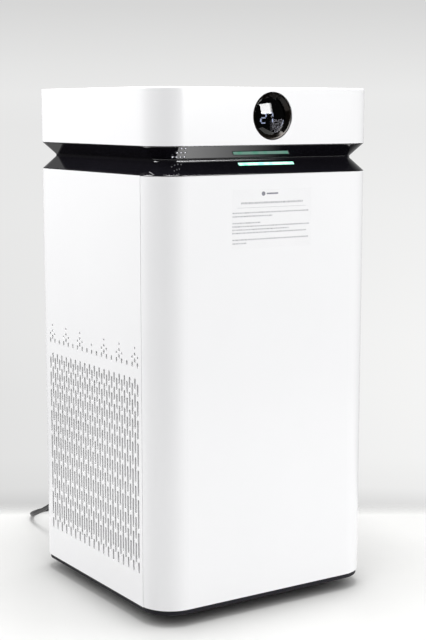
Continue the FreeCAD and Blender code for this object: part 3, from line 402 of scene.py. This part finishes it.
smokedGlass = smokedLens({
    "deep": (0.07, 0.07, 0.08), "clear": (0.09, 0.09, 0.10), "haze": 0.004, "swirlScale": 120.0,
    "ior": 1.6})


def thinFilm(look):
    made, tree, shader = newMaterial("thinFilm", {"IOR": 1.45})
    wrinkle = noise(tree, objectPoint(tree), look["wrinkleScale"], 2.0)
    join(tree, shader, base=tint(tree, wrinkle, colour(*look["low"]), colour(*look["high"])),
         rough=ramp(tree, wrinkle, *look["roughness"]), alpha=ramp(tree, wrinkle, *look["alpha"]),
         normal=bump(tree, wrinkle, look["ripple"]))
    return made


clearFilm = thinFilm({
    "low": (0.86, 0.86, 0.865), "high": (0.90, 0.90, 0.905), "roughness": (0.08, 0.14),
    "alpha": (0.004, 0.014), "ripple": 0.00003, "wrinkleScale": 26.0})


def bareMetal(name, look):
    made, tree, shader = newMaterial(name, {"Metallic": 1.0})
    streak = useGroup(tree, brushedLines, Scale=look["lineScale"], Stretch=look["stretch"])
    shade = useGroup(tree, slowShade, Scale=look["driftScale"], Spread=look["drift"])
    edge = useGroup(tree, edgeWearAndSheen, Width=0.0008)
    base = tint(tree, 1.0, colour(*look["colour"]), shade.outputs["Shade"], "MULTIPLY")
    base = tint(tree, ramp(tree, shade.outputs["Blotch"], 0.0, look["stain"], 0.55, 1.0), base,
                colour(*look["stainColour"]))
    base = tint(tree, maths(tree, "MULTIPLY", edge.outputs["Edge"], 0.4), base, colour(0.8, 0.8, 0.8))
    join(tree, shader, base=base, rough=ramp(tree, streak.outputs["Streak"], *look["roughness"]),
         normal=bump(tree, streak.outputs["Streak"], look["lineDepth"]))
    return made


brightSteel = bareMetal("brightSteel", {
    "colour": (0.62, 0.62, 0.63), "drift": 0.10, "driftScale": 40.0, "stain": 0.2,
    "stainColour": (0.40, 0.38, 0.35), "roughness": (0.18, 0.34), "lineScale": 1500.0, "stretch": 0.05,
    "lineDepth": 0.000008})
zincPlate = bareMetal("zincPlate", {
    "colour": (0.56, 0.58, 0.60), "drift": 0.16, "driftScale": 22.0, "stain": 0.5,
    "stainColour": (0.50, 0.49, 0.42), "roughness": (0.30, 0.48), "lineScale": 700.0, "stretch": 0.3,
    "lineDepth": 0.00001})
rolledAluminium = bareMetal("rolledAluminium", {
    "colour": (0.76, 0.77, 0.78), "drift": 0.10, "driftScale": 12.0, "stain": 0.25,
    "stainColour": (0.52, 0.50, 0.47), "roughness": (0.26, 0.42), "lineScale": 900.0, "stretch": 0.04,
    "lineDepth": 0.000012})
nickelMagnet = bareMetal("nickelMagnet", {
    "colour": (0.60, 0.58, 0.55), "drift": 0.10, "driftScale": 90.0, "stain": 0.3,
    "stainColour": (0.36, 0.33, 0.30), "roughness": (0.14, 0.26), "lineScale": 1200.0, "stretch": 1.0,
    "lineDepth": 0.000006})


def coatedHoneycomb(look):
    made, tree, shader = newMaterial("coatedHoneycomb", {"IOR": 1.4})
    grit = addNode(tree, "ShaderNodeTexVoronoi", {"Vector": objectPoint(tree), "Scale": look["gritScale"]})
    shade = useGroup(tree, slowShade, Scale=30.0, Spread=0.35)
    dust = useGroup(tree, restingDust, Amount=0.4)
    base = tint(tree, grit.outputs["Distance"], colour(*look["pore"]), colour(*look["crumb"]))
    base = tint(tree, 1.0, base, shade.outputs["Shade"], "MULTIPLY")
    base = tint(tree, dust.outputs["Dust"], base, colour(0.30, 0.29, 0.27))
    join(tree, shader, base=base, rough=ramp(tree, grit.outputs["Distance"], 0.7, 0.95),
         normal=bump(tree, grit.outputs["Distance"], look["gritDepth"]))
    return made


honeycombCoat = coatedHoneycomb({"pore": (0.012, 0.011, 0.010), "crumb": (0.060, 0.054, 0.048),
                                 "gritScale": 900.0, "gritDepth": 0.0002})


def laidCircuit(look):
    made, tree, shader = newMaterial("laidCircuit", {"IOR": 1.55})
    point = objectPoint(tree)
    upright = addNode(tree, "ShaderNodeMapping", {"Vector": point, "Rotation": (1.5708, 0, 0)})
    tracks = addNode(tree, "ShaderNodeTexBrick", {
        "Vector": upright.outputs[0], "Scale": look["trackScale"], "Mortar Size": 0.09,
        "Mortar Smooth": 0.2, "Brick Width": 0.9, "Row Height": 0.16, "Color1": colour(*look["mask"]),
        "Color2": colour(*look["maskAlso"]), "Mortar": colour(*look["track"])})
    pads = addNode(tree, "ShaderNodeTexVoronoi", {"Vector": point, "Scale": look["padScale"],
                                                  "Randomness": 0.35})
    dot = ramp(tree, pads.outputs["Distance"], 1.0, 0.0, 0.10, 0.14)
    base = tint(tree, dot, tracks.outputs["Color"], colour(*look["solder"]))
    join(tree, shader, base=base, rough=ramp(tree, dot, 0.45, 0.25), metal=ramp(tree, dot, 0.0, 0.9),
         normal=bump(tree, tracks.outputs["Fac"], 0.00005))
    return made


circuitBoard = laidCircuit({"mask": (0.012, 0.11, 0.045), "maskAlso": (0.014, 0.12, 0.052),
                            "track": (0.030, 0.20, 0.085), "solder": (0.62, 0.62, 0.60),
                            "trackScale": 90.0, "padScale": 260.0})


def printedGrey(name, look):
    made, tree, shader = newMaterial(name, {"IOR": 1.45})
    dots = noise(tree, objectPoint(tree), look["dotScale"], 2.0)
    base = tint(tree, ramp(tree, dots, 0.0, 1.0, 0.35, 0.6), colour(*look["ink"]), colour(*look["thin"]))
    join(tree, shader, base=base, rough=ramp(tree, dots, 0.35, 0.5))
    return made


greyInk = printedGrey("greyInk", {"ink": (0.34, 0.34, 0.36), "thin": (0.56, 0.56, 0.58), "dotScale": 900.0})
darkInk = printedGrey("darkInk", {"ink": (0.16, 0.16, 0.19), "thin": (0.24, 0.24, 0.28), "dotScale": 900.0})
platePaper = printedGrey("platePaper", {"ink": (0.62, 0.63, 0.64), "thin": (0.72, 0.72, 0.73),
                                        "dotScale": 300.0})
slotFinish = {
    "white_shell": whiteShell, "duct_grey": ductGreyAndShade, "black_gloss": mirrorBlack,
    "black_matte": blackMoulding, "dark_grey": darkGreyMoulding, "smoke_glass": smokedGlass,
    "bronze_ring": bronzeRing, "led_green": litGuide, "digit_white": litFigures, "clear_film": clearFilm,
    "steel": brightSteel, "zinc": zincPlate, "aluminium": rolledAluminium, "carbon": honeycombCoat,
    "circuit_green": circuitBoard, "rubber_black": rubberBlack, "tread_grey": casterGrey,
    "cord_black": cordSheath, "magnet": nickelMagnet,
}
print("materials made:", len(bpy.data.materials))


# the display board is duller than the other matte black pieces, so that it hides behind the lens
ownFinish = {"display_board": screenBlack}


def finishFrame():
    for row in frame["record"]["subparts"]:
        piece = frame["nodes"][row["node"]]
        piece.data.materials.clear()
        piece.data.materials.append(ownFinish.get(row["node"], slotFinish[row["material_slot"]]))


finishFrame()
print("frame pieces finished")

# the lead: down from the strain relief, along the floor, put away in a tied coil, then to its plug.
# The coil winds inwards in the bottom layer, climbs, winds outwards on top, and ends in a third layer.
lead = {
    "diameter": 0.006,
    "length": 1.77,
    "coilCentre": (0.027, 0.250),
    "turns": 6.25,
    "pointsPerTurn": 14,
    "innerTurn": 0.027,
    "inwardAt": (0.7, 1.7),    # in turns, as are the next four
    "climbAt": 2.4,
    "outwardAt": (3.4, 4.4),
    "nestAt": 5.4,
    "easeOver": 0.3,
    "nestRise": 0.87,          # of a diameter: a turn that lies between two others
}
leadRoute = [
    (-0.0900, 0.197, 0.0620), (-0.0900, 0.222, 0.0610), (-0.0900, 0.250, 0.0540), (-0.0895, 0.281, 0.0370),
    (-0.0880, 0.312, 0.0225), (-0.0850, 0.341, 0.0110), (-0.0730, 0.368, 0.0040), (-0.0470, 0.382, 0.0030),
    (-0.0190, 0.375, 0.0030), (-0.0050, 0.350, 0.0030), (-0.0020, 0.321, 0.0030), (-0.0080, 0.293, 0.0030),
    (-0.0120, 0.265, 0.0030),
]
tailRoute = [
    (0.042, 0.2135, 0.0146), (0.056, 0.213, 0.0110), (0.080, 0.215, 0.0045), (0.101, 0.227, 0.0032),
    (0.113, 0.248, 0.0045), (0.117, 0.271, 0.0075),
]


def easeStep(turn, start):
    share = min(max((turn - start) / lead["easeOver"], 0.0), 1.0)
    return share * share * (3 - 2 * share)


def coilPoints():
    points = []
    gap = lead["diameter"]
    for index in range(int(lead["turns"] * lead["pointsPerTurn"]) + 1):
        turn = index / lead["pointsPerTurn"]
        inward = sum(easeStep(turn, start) for start in lead["inwardAt"])
        outward = sum(easeStep(turn, start) for start in lead["outwardAt"])
        nested = easeStep(turn, lead["nestAt"])
        radius = lead["innerTurn"] + gap * (2 - inward + outward - 0.5 * nested)
        height = gap * (0.5 + easeStep(turn, lead["climbAt"]) + lead["nestRise"] * nested)
        radius /= math.cos(math.pi / lead["pointsPerTurn"])
        angle = math.pi + 2 * math.pi * turn
        points.append((lead["coilCentre"][0] + radius * math.cos(angle),
                       lead["coilCentre"][1] + radius * math.sin(angle), height))
    return points


def buildLead():
    route = leadRoute + coilPoints() + tailRoute
    data = bpy.data.curves.new("powerLead", "CURVE")
    data.dimensions = "3D"
    data.bevel_depth = lead["diameter"] / 2
    data.bevel_resolution = 5
    data.resolution_u = 6
    line = data.splines.new("NURBS")
    line.points.add(len(route) - 1)
    for point, spot in zip(line.points, route):
        point.co = (*spot, 1.0)
    line.order_u = 3
    line.use_endpoint_u = True
    return keep("powerLead", data, cordSheath, "cabinet")


powerLead = buildLead()
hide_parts("power_cord", "power_cord_coil")


tie = {
    "angle": 62.0, "width": 0.009, "wall": 0.0008, "inner": 0.0235, "outer": 0.0425, "top": 0.0150,
    "square": 0.35,   # 1 is a round loop, 0 a square one
    "steps": 28,
}


def buildTie():
    side = Vector((math.cos(math.radians(tie["angle"])), math.sin(math.radians(tie["angle"])), 0))
    along = Vector((-side.y, side.x, 0))
    middle = Vector((*lead["coilCentre"], 0))
    reach = (tie["outer"] + tie["inner"]) / 2
    halfWide = (tie["outer"] - tie["inner"]) / 2

    def squared(value):
        return math.copysign(abs(value) ** tie["square"], value)

    def build(shape):
        rings = []
        for index in range(tie["steps"]):
            angle = 2 * math.pi * index / tie["steps"]
            across = squared(math.cos(angle))
            rise = squared(math.sin(angle))
            ring = []
            for grow, shift in ((0, -1), (0, 1), (1, 1), (1, -1)):
                spot = middle + side * (reach + across * (halfWide + grow * tie["wall"]))
                spot += along * (shift * tie["width"] / 2)
                spot.z = max(tie["top"] / 2 * (1 + rise) + rise * grow * tie["wall"], 0.0002 * (1 - grow))
                ring.append(shape.verts.new(spot))
            rings.append(ring)
        for index, ring in enumerate(rings):
            following = rings[(index + 1) % tie["steps"]]
            for first, second in ((0, 1), (1, 2), (2, 3), (3, 0)):
                shape.faces.new((ring[first], ring[second], following[second], following[first]))

    return keep("leadTie", meshFrom("leadTie", build), rubberBlack, "cabinet")


leadTie = buildTie()


relief = {
    "anchor": 0.0095, "neck": 0.0068, "groove": 0.003, "collar": 0.0085, "collarBack": 0.0022,
    "collarRim": 0.0078, "root": 0.0065, "end": 0.0040, "mouth": 0.0032, "length": 0.042,
    "ribs": 7, "ribStart": 0.0045, "ribDepth": 0.0009, "segments": 32, "sharpAngle": 35,
}


def buildRelief():
    low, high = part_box("cord_gland")
    centreX = (low.x + high.x) / 2
    centreZ = (low.z + high.z) / 2
    panelY = high.y - relief["length"]
    profile = [(0.0, low.y - panelY), (relief["anchor"], low.y - panelY),
               (relief["anchor"], -relief["groove"]), (relief["neck"], -relief["groove"]),
               (relief["neck"], 0.0), (relief["collar"], 0.0), (relief["collar"], relief["collarBack"]),
               (relief["collarRim"], 0.003)]
    pitch = (relief["length"] - relief["ribStart"] - 0.002) / relief["ribs"]
    for rib in range(relief["ribs"]):
        share = rib / relief["ribs"]
        radius = relief["root"] + (relief["end"] - relief["root"]) * share
        back = relief["ribStart"] + rib * pitch
        profile += [(radius - relief["ribDepth"], back), (radius, back + pitch * 0.25),
                    (radius, back + pitch * 0.7), (radius - relief["ribDepth"], back + pitch * 0.92)]
    profile += [(relief["end"] - 0.0004, relief["length"] - 0.001), (relief["mouth"], relief["length"]),
                (0.0, relief["length"])]
    count = relief["segments"]

    def build(shape):
        rings = []
        for radius, back in profile:
            if radius == 0.0:
                rings.append([shape.verts.new((centreX, panelY + back, centreZ))])
                continue
            rings.append([shape.verts.new((centreX + radius * math.cos(angle), panelY + back,
                                           centreZ + radius * math.sin(angle)))
                          for angle in (2 * math.pi * n / count for n in range(count))])
        for ring, following in zip(rings, rings[1:]):
            for n in range(count):
                loop = [ring[n % len(ring)], ring[(n + 1) % len(ring)],
                        following[(n + 1) % len(following)], following[n % len(following)]]
                shape.faces.new(list(dict.fromkeys(loop)))

    made = keep("strainRelief", meshFrom("strainRelief", build, smooth=True), rubberBlack, "cabinet")
    made.modifiers.new("edges", "EDGE_SPLIT").split_angle = math.radians(relief["sharpAngle"])
    return made


strainRelief = buildRelief()
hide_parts("cord_gland")
print("lead, tie and strain relief made")


# a flat piece upright in the X-Z plane, from its outline and its two depths
def uprightPlate(shape, rim, front, back):
    near = [shape.verts.new((x, front, z)) for x, z in rim]
    far = [shape.verts.new((x, back, z)) for x, z in rim]
    shape.faces.new(near)
    shape.faces.new(list(reversed(far)))
    for n in range(len(rim)):
        following = (n + 1) % len(rim)
        shape.faces.new((near[n], far[n], far[following], near[following]))


# grey printing in the door's film: plain bars in place of words, in millimetres
filmPrint = {
    "depths": (0.35, 0.55),   # shares of the film's own thickness
    "lines": [   # left end, right end, height above the floor, bar height
        (-45.0, 45.0, 503.0, 2.2), (-57.0, 55.0, 491.7, 1.5), (-57.0, 0.0, 487.6, 1.5),
        (-57.0, -17.5, 479.7, 1.5), (-54.5, 56.0, 475.7, 1.5), (-54.5, 24.5, 471.8, 1.5),
        (-54.5, 51.0, 468.0, 1.5), (-57.0, 55.0, 460.0, 1.5), (-57.0, -37.0, 455.8, 1.5),
    ],
    "bullets": (475.7, 471.8, 468.0),
    "bulletBar": (-57.2, -55.4, 1.8),
    "rule": (-50.0, 50.0, 497.6, 0.35),
    "emblem": (-12.8, 513.6, 2.6),   # middle and radius
    "emblemSteps": 24,
    "emblemBar": (-8.0, 8.5, 513.6, 1.8),
    "wordLengths": (1.2, 4.2),
    "wordGap": 0.7,
}


def filmDepths():
    low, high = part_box("info_film")
    return [low.y + (high.y - low.y) * share for share in filmPrint["depths"]]


def filmBar(shape, left, right, middle, tall):
    front, back = filmDepths()
    slab(shape, (left * millimetre, front, (middle - tall / 2) * millimetre),
         (right * millimetre, back, (middle + tall / 2) * millimetre))


def buildFilmPrint():
    chance = random.Random(7)

    def build(shape):
        for left, right, height, tall in filmPrint["lines"]:
            start = left
            while start < right - 1:
                end = min(start + chance.uniform(*filmPrint["wordLengths"]), right)
                filmBar(shape, start, end, height, tall)
                start = end + filmPrint["wordGap"]
        left, right, tall = filmPrint["bulletBar"]
        for height in filmPrint["bullets"]:
            filmBar(shape, left, right, height, tall)
        filmBar(shape, *filmPrint["rule"])

    return keep("filmPrint", meshFrom("filmPrint", build), greyInk, "door")


def buildFilmEmblem():
    x, z, radius = (value * millimetre for value in filmPrint["emblem"])
    steps = filmPrint["emblemSteps"]

    def build(shape):
        rim = [(x + radius * math.cos(angle), z + radius * math.sin(angle))
               for angle in (2 * math.pi * n / steps for n in range(steps))]
        uprightPlate(shape, rim, *filmDepths())
        filmBar(shape, *filmPrint["emblemBar"])

    return keep("filmEmblem", meshFrom("filmEmblem", build), darkInk, "door")


buildFilmPrint()
buildFilmEmblem()
print("door print made")


# small curved touch mark low on the right of the display, under the lens
touchMark = {"reach": 0.0198, "from": -36.0, "to": -14.0, "wall": 0.0007, "steps": 14, "behind": 0.00004}


def buildTouchMark():
    low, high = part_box("display_glass")
    centreX = (low.x + high.x) / 2
    centreZ = (low.z + high.z) / 2
    y = high.y + touchMark["behind"]

    def build(shape):
        rows = []
        for index in range(touchMark["steps"] + 1):
            share = index / touchMark["steps"]
            angle = math.radians(touchMark["from"] + (touchMark["to"] - touchMark["from"]) * share)
            half = touchMark["wall"] / 2 * math.sin(math.pi * (0.12 + 0.76 * share))
            rows.append([shape.verts.new((centreX + (touchMark["reach"] + off) * math.cos(angle), y,
                                          centreZ + (touchMark["reach"] + off) * math.sin(angle)))
                         for off in (-half, half)])
        for row, following in zip(rows, rows[1:]):
            shape.faces.new((row[0], row[1], following[1], following[0]))

    return keep("touchMark", meshFrom("touchMark", build), litFigures, "cabinet")


buildTouchMark()


# small domes in the air sensor's ports, on the band's upper facet, which glow: a painted highlight for the
# ports' bright dots
ports = {"middle": -0.122, "rows": 3, "pitch": 0.0053, "rowRise": 0.005, "down": 0.013,
         "radius": 0.00102, "sink": 0.0002, "flatten": 0.3,
         "segments": (12, 6)}
waist = {"inset": 0.0176, "flat": 0.0013}


def facetPoint(x, z):
    low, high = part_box("waist_band")
    middle = (low.z + high.z) / 2
    rise = (high.z - low.z) / 2 - waist["flat"]
    run = 1.0 - (abs(z - middle) - waist["flat"]) / rise
    normal = Vector((0, -rise, waist["inset"] if z < middle else -waist["inset"])).normalized()
    return Vector((x, low.y + waist["inset"] * run, z)), normal


def buildPortGlowDots():
    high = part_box("waist_band")[1]

    def build(shape):
        around, up = ports["segments"]
        for row in range(ports["rows"]):
            last = ports["rows"] - row
            for column in range(last + 1):
                spot, normal = facetPoint(ports["middle"] + ports["pitch"] * (column - last / 2),
                                          high.z - ports["down"] + ports["rowRise"] * row)
                turned = normal.to_track_quat("Z", "Y").to_matrix().to_4x4()
                seat = Matrix.Translation(spot - normal * ports["sink"]) @ turned
                dome = bmesh.ops.create_uvsphere(shape, u_segments=around, v_segments=up,
                                                 radius=ports["radius"])
                squash = Matrix.Diagonal((1, 1, ports["flatten"], 1))
                bmesh.ops.transform(shape, matrix=seat @ squash, verts=dome["verts"])

    made = meshFrom("portGlowDots", build, smooth=True)
    return keep("portGlowDots", made, sensorPaintedGlow, "cabinet")


buildPortGlowDots()
print("display mark and sensor lenses made")


# painted shade: black crosses laid on the rear screws' heads stand in for the shade in their cross
# recesses; and a blank rating plate
rearScrew = {
    "headRadius": 0.0038, "middleHeight": 0.270, "arm": 0.0026, "wall": 0.0008, "deep": 0.0006,
    "proud": 0.00004, "firstTurn": 17, "nextTurn": 41,   # degrees
}
plate = {"low": (0.020, 0.060), "size": (0.078, 0.050), "wall": 0.0003, "corner": 0.003, "steps": 6}
plateBars = {
    "rows": 7, "top": 0.008, "pitch": 0.0056, "margin": 0.005, "ragged": 0.03, "lengths": (0.004, 0.012),
    "gap": 0.0012, "shortest": 0.002, "half": 0.0009, "sink": 0.0001, "proud": 0.00003,
}


def screwPlaces():
    low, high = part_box("rear_screws")
    radius = rearScrew["headRadius"]
    return [(x, high.y, z) for x in (low.x + radius, high.x - radius)
            for z in (low.z + radius, rearScrew["middleHeight"], high.z - radius)]


def buildScrewRecessShade():
    long = rearScrew["arm"]
    thin = rearScrew["wall"]

    def build(shape):
        for number, spot in enumerate(screwPlaces()):
            degrees = rearScrew["firstTurn"] + rearScrew["nextTurn"] * number
            turn = Matrix.Rotation(math.radians(degrees), 4, "Y")
            for wide, tall in ((long, thin), (thin, long)):
                verts = slab(shape, (-wide, -rearScrew["deep"], -tall), (wide, rearScrew["proud"], tall))
                bmesh.ops.transform(shape, matrix=Matrix.Translation(spot) @ turn, verts=verts)

    # the black crosses are painted shade in place of cut recesses
    made = meshFrom("screwRecessShade", build)
    return keep("screwRecessShade", made, blackMoulding, "cabinet")


def plateRim():
    left, bottom = plate["low"]
    wide, tall = plate["size"]
    corner = plate["corner"]
    centres = ((left + wide - corner, bottom + tall - corner), (left + corner, bottom + tall - corner),
               (left + corner, bottom + corner), (left + wide - corner, bottom + corner))
    rim = []
    for quarter, (x, z) in enumerate(centres):
        for n in range(plate["steps"] + 1):
            angle = math.radians(90 * quarter + 90 * n / plate["steps"])
            rim.append((x + corner * math.cos(angle), z + corner * math.sin(angle)))
    return rim


def buildRatingPlate():
    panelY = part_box("rear_panel")[1].y
    face = panelY + plate["wall"]
    left, bottom = plate["low"]
    wide, tall = plate["size"]
    look = plateBars

    def build(shape):
        uprightPlate(shape, plateRim(), panelY, face)

    def buildBars(shape):
        chance = random.Random(3)
        for row in range(look["rows"]):
            z = bottom + tall - look["top"] - row * look["pitch"]
            start = left + look["margin"]
            end = left + wide - look["margin"] - chance.uniform(0.0, look["ragged"])
            while start < end - look["shortest"]:
                stop = min(start + chance.uniform(*look["lengths"]), end)
                slab(shape, (start, face - look["sink"], z - look["half"]),
                     (stop, face + look["proud"], z + look["half"]))
                start = stop + look["gap"]

    keep("ratingPlate", meshFrom("ratingPlate", build), platePaper, "cabinet")
    keep("ratingBars", meshFrom("ratingBars", buildBars), greyInk, "cabinet")


buildScrewRecessShade()
buildRatingPlate()
print("rear details made")


# pale table, which fades out at its edges, most gently at the far one
table = {
    "half": (1.35, 0.80), "back": 0.35, "drop": 0.0002, "fade": 0.03, "backFade": 0.075,
    "colour": (0.77, 0.77, 0.76),
    "bounce": 0.33,   # its tone in the light that it throws back on the cabinet
}


def tableFinish():
    made, tree, shader = newMaterial("paleTable", {"IOR": 1.45})
    spot = addNode(tree, "ShaderNodeSeparateXYZ", {0: objectPoint(tree)})
    grain = useGroup(tree, mouldGrain, Scale=160.0)
    shade = useGroup(tree, slowShade, Scale=2.5, Spread=0.03)
    base = tint(tree, 1.0, colour(*table["colour"]), shade.outputs["Shade"], "MULTIPLY")
    bounced = addNode(tree, "ShaderNodeLightPath").outputs["Is Diffuse Ray"]
    base = tint(tree, bounced, base, colour(*[table["bounce"]] * 3))
    acrossIn = maths(tree, "SUBTRACT", table["half"][0], maths(tree, "ABSOLUTE", spot.outputs["X"]))
    alongIn = maths(tree, "ADD", table["half"][1], spot.outputs["Y"])
    rim = ramp(tree, maths(tree, "MINIMUM", acrossIn, alongIn), 0.0, 1.0, 0.0, table["fade"])
    far = ramp(tree, maths(tree, "SUBTRACT", table["half"][1], spot.outputs["Y"]), 0.0, 1.0, 0.0,
               table["backFade"])
    clear = maths(tree, "MULTIPLY", rim, maths(tree, "MULTIPLY", far, far))
    join(tree, shader, base=base, rough=ramp(tree, grain.outputs["Height"], 0.28, 0.42), alpha=clear,
         normal=bump(tree, grain.outputs["Height"], 0.00001))
    return made


def buildTable():
    def build(shape):
        x, y = table["half"]
        corners = ((-x, -y, 0), (x, -y, 0), (x, y, 0), (-x, y, 0))
        shape.faces.new([shape.verts.new(spot) for spot in corners])

    made = bpy.data.objects.new("paleTable", meshFrom("paleTable", build))
    collection.objects.link(made)
    turn = math.radians(camera["turn"])
    middle = table["back"] - table["half"][1]
    made.rotation_euler = (0, 0, turn)
    made.location = (-math.sin(turn) * middle, math.cos(turn) * middle, -table["drop"])
    made.data.materials.append(tableFinish())
    return made


paleTable = buildTable()


# light: softboxes to the front right and the rear left, and one overhead.
# Only the overhead one reaches the table, so that the shadow under the cabinet stays tight and dark.
# fadeEdge is the strength at two shares of the softbox's width, and those shares.
lights = {
    "frontRight": {"place": (1.19, -2.79, 1.234), "aim": (-0.02, -0.14, 0.52), "size": (1.4, 0.92),
                   "power": 62.0, "onTable": False, "fadeEdge": (1.10, 0.0, 0.74, 0.98)},
    "rearLeft": {"place": (-1.35, 0.62, 1.65), "aim": (-0.14, 0.0, 0.45), "size": (0.8, 1.0),
                 "power": 36.0, "onTable": False},
    "overhead": {"place": (0.0, -0.1, 2.6), "aim": (0.0, -0.1, 0.0), "size": (0.9, 0.9),
                 "power": 40.0, "onTable": True},
}


# a softbox whose right-hand edge dies away
def fadeLight(data, fade):
    data.use_nodes = True
    tree = data.node_tree
    tree.nodes.clear()
    spot = addNode(tree, "ShaderNodeSeparateXYZ", {0: surfaceFacts(tree, "Parametric")})
    glow = addNode(tree, "ShaderNodeEmission", {"Strength": ramp(tree, spot.outputs["X"], *fade)})
    addNode(tree, "ShaderNodeOutputLight", {"Surface": glow.outputs[0]})


def buildLights():
    objectOnly = bpy.data.collections.new("litObject")
    for piece in scene.objects:
        if piece.type in ("MESH", "CURVE") and piece != paleTable:
            objectOnly.objects.link(piece)
    for name, look in lights.items():
        data = bpy.data.lights.new(name, "AREA")
        data.shape = "RECTANGLE"
        data.size, data.size_y = look["size"]
        data.energy = look["power"]
        if "fadeEdge" in look:
            fadeLight(data, look["fadeEdge"])
        made = bpy.data.objects.new(name, data)
        made.location = look["place"]
        aim = Vector(look["aim"]) - Vector(look["place"])
        made.rotation_euler = aim.to_track_quat("-Z", "Y").to_euler()
        collection.objects.link(made)
        if not look["onTable"]:
            made.light_linking.receiver_collection = objectOnly


# room: a pale wall to look at. Reflections see it dimmer, and only straight behind the cabinet, so
# that the black band stays black. The ambient light comes from above.
room = {
    # the wall's tones are painted light and shade: brightest at mid height, darker towards its top,
    # brighter to the right, and darkest at the bottom, a painted shade line along the table's far edge
    "wall": [   # height of the line of sight, tone
        (-0.280, 0.60), (-0.271, 0.69), (-0.261, 0.79), (-0.240, 0.83), (-0.158, 0.85), (-0.073, 0.84),
        (-0.010, 0.81), (0.011, 0.82), (0.031, 0.78), (0.052, 0.73), (0.072, 0.68),
    ],
    "span": (-0.30, 0.10),
    "brightSide": (0.838, -0.546, 0.0),   # the wall brightens to the right
    "sideStrength": 0.55,
    "ambient": 1.12,
    "ceiling": (0.0, 0.6),   # heights of sight between which the ambient light comes up
    "mirror": 0.03,
    "wallSide": (0.546, 0.838, 0.0),
    "wallMirror": 0.45,
    "wallReach": (0.5, 0.95),   # how straight behind, as a cosine
}


def buildRoom():
    world = bpy.data.worlds.new("studioRoom")
    scene.world = world
    world.use_nodes = True
    tree = world.node_tree
    tree.nodes.clear()
    path = addNode(tree, "ShaderNodeLightPath")
    sight = addNode(tree, "ShaderNodeTexCoord").outputs["Generated"]
    slope = addNode(tree, "ShaderNodeSeparateXYZ", {0: sight}).outputs["Z"]
    low, high = room["span"]
    tones = addNode(tree, "ShaderNodeValToRGB", {"Fac": ramp(tree, slope, 0.0, 1.0, low, high)})
    stops = tones.color_ramp.elements
    while len(stops) < len(room["wall"]):
        stops.new(0.5)
    for stop, (rise, tone) in zip(stops, room["wall"]):
        stop.position = (rise - low) / (high - low)
        stop.color = colour(tone, tone, tone * 0.995)
    lean = maths(tree, "MULTIPLY", dotProduct(tree, sight, room["brightSide"]),
                 ramp(tree, slope, room["sideStrength"], 0.0, -0.2, 0.03))
    seen = tint(tree, 1.0, tones.outputs["Color"], maths(tree, "ADD", lean, 1.0), "MULTIPLY")
    ceiling = ramp(tree, slope, 0.0, room["ambient"], *room["ceiling"])
    behind = dotProduct(tree, sight, room["wallSide"])
    mirrored = ramp(tree, behind, room["mirror"], room["wallMirror"], *room["wallReach"])
    unseen = tint(tree, path.outputs["Is Glossy Ray"], ceiling, mirrored)
    shown = tint(tree, path.outputs["Is Camera Ray"], unseen, seen)
    back = addNode(tree, "ShaderNodeBackground", {"Color": shown, "Strength": 1.0})
    addNode(tree, "ShaderNodeOutputWorld", {"Surface": back.outputs[0]})


buildLights()
buildRoom()
print("stage and light made")
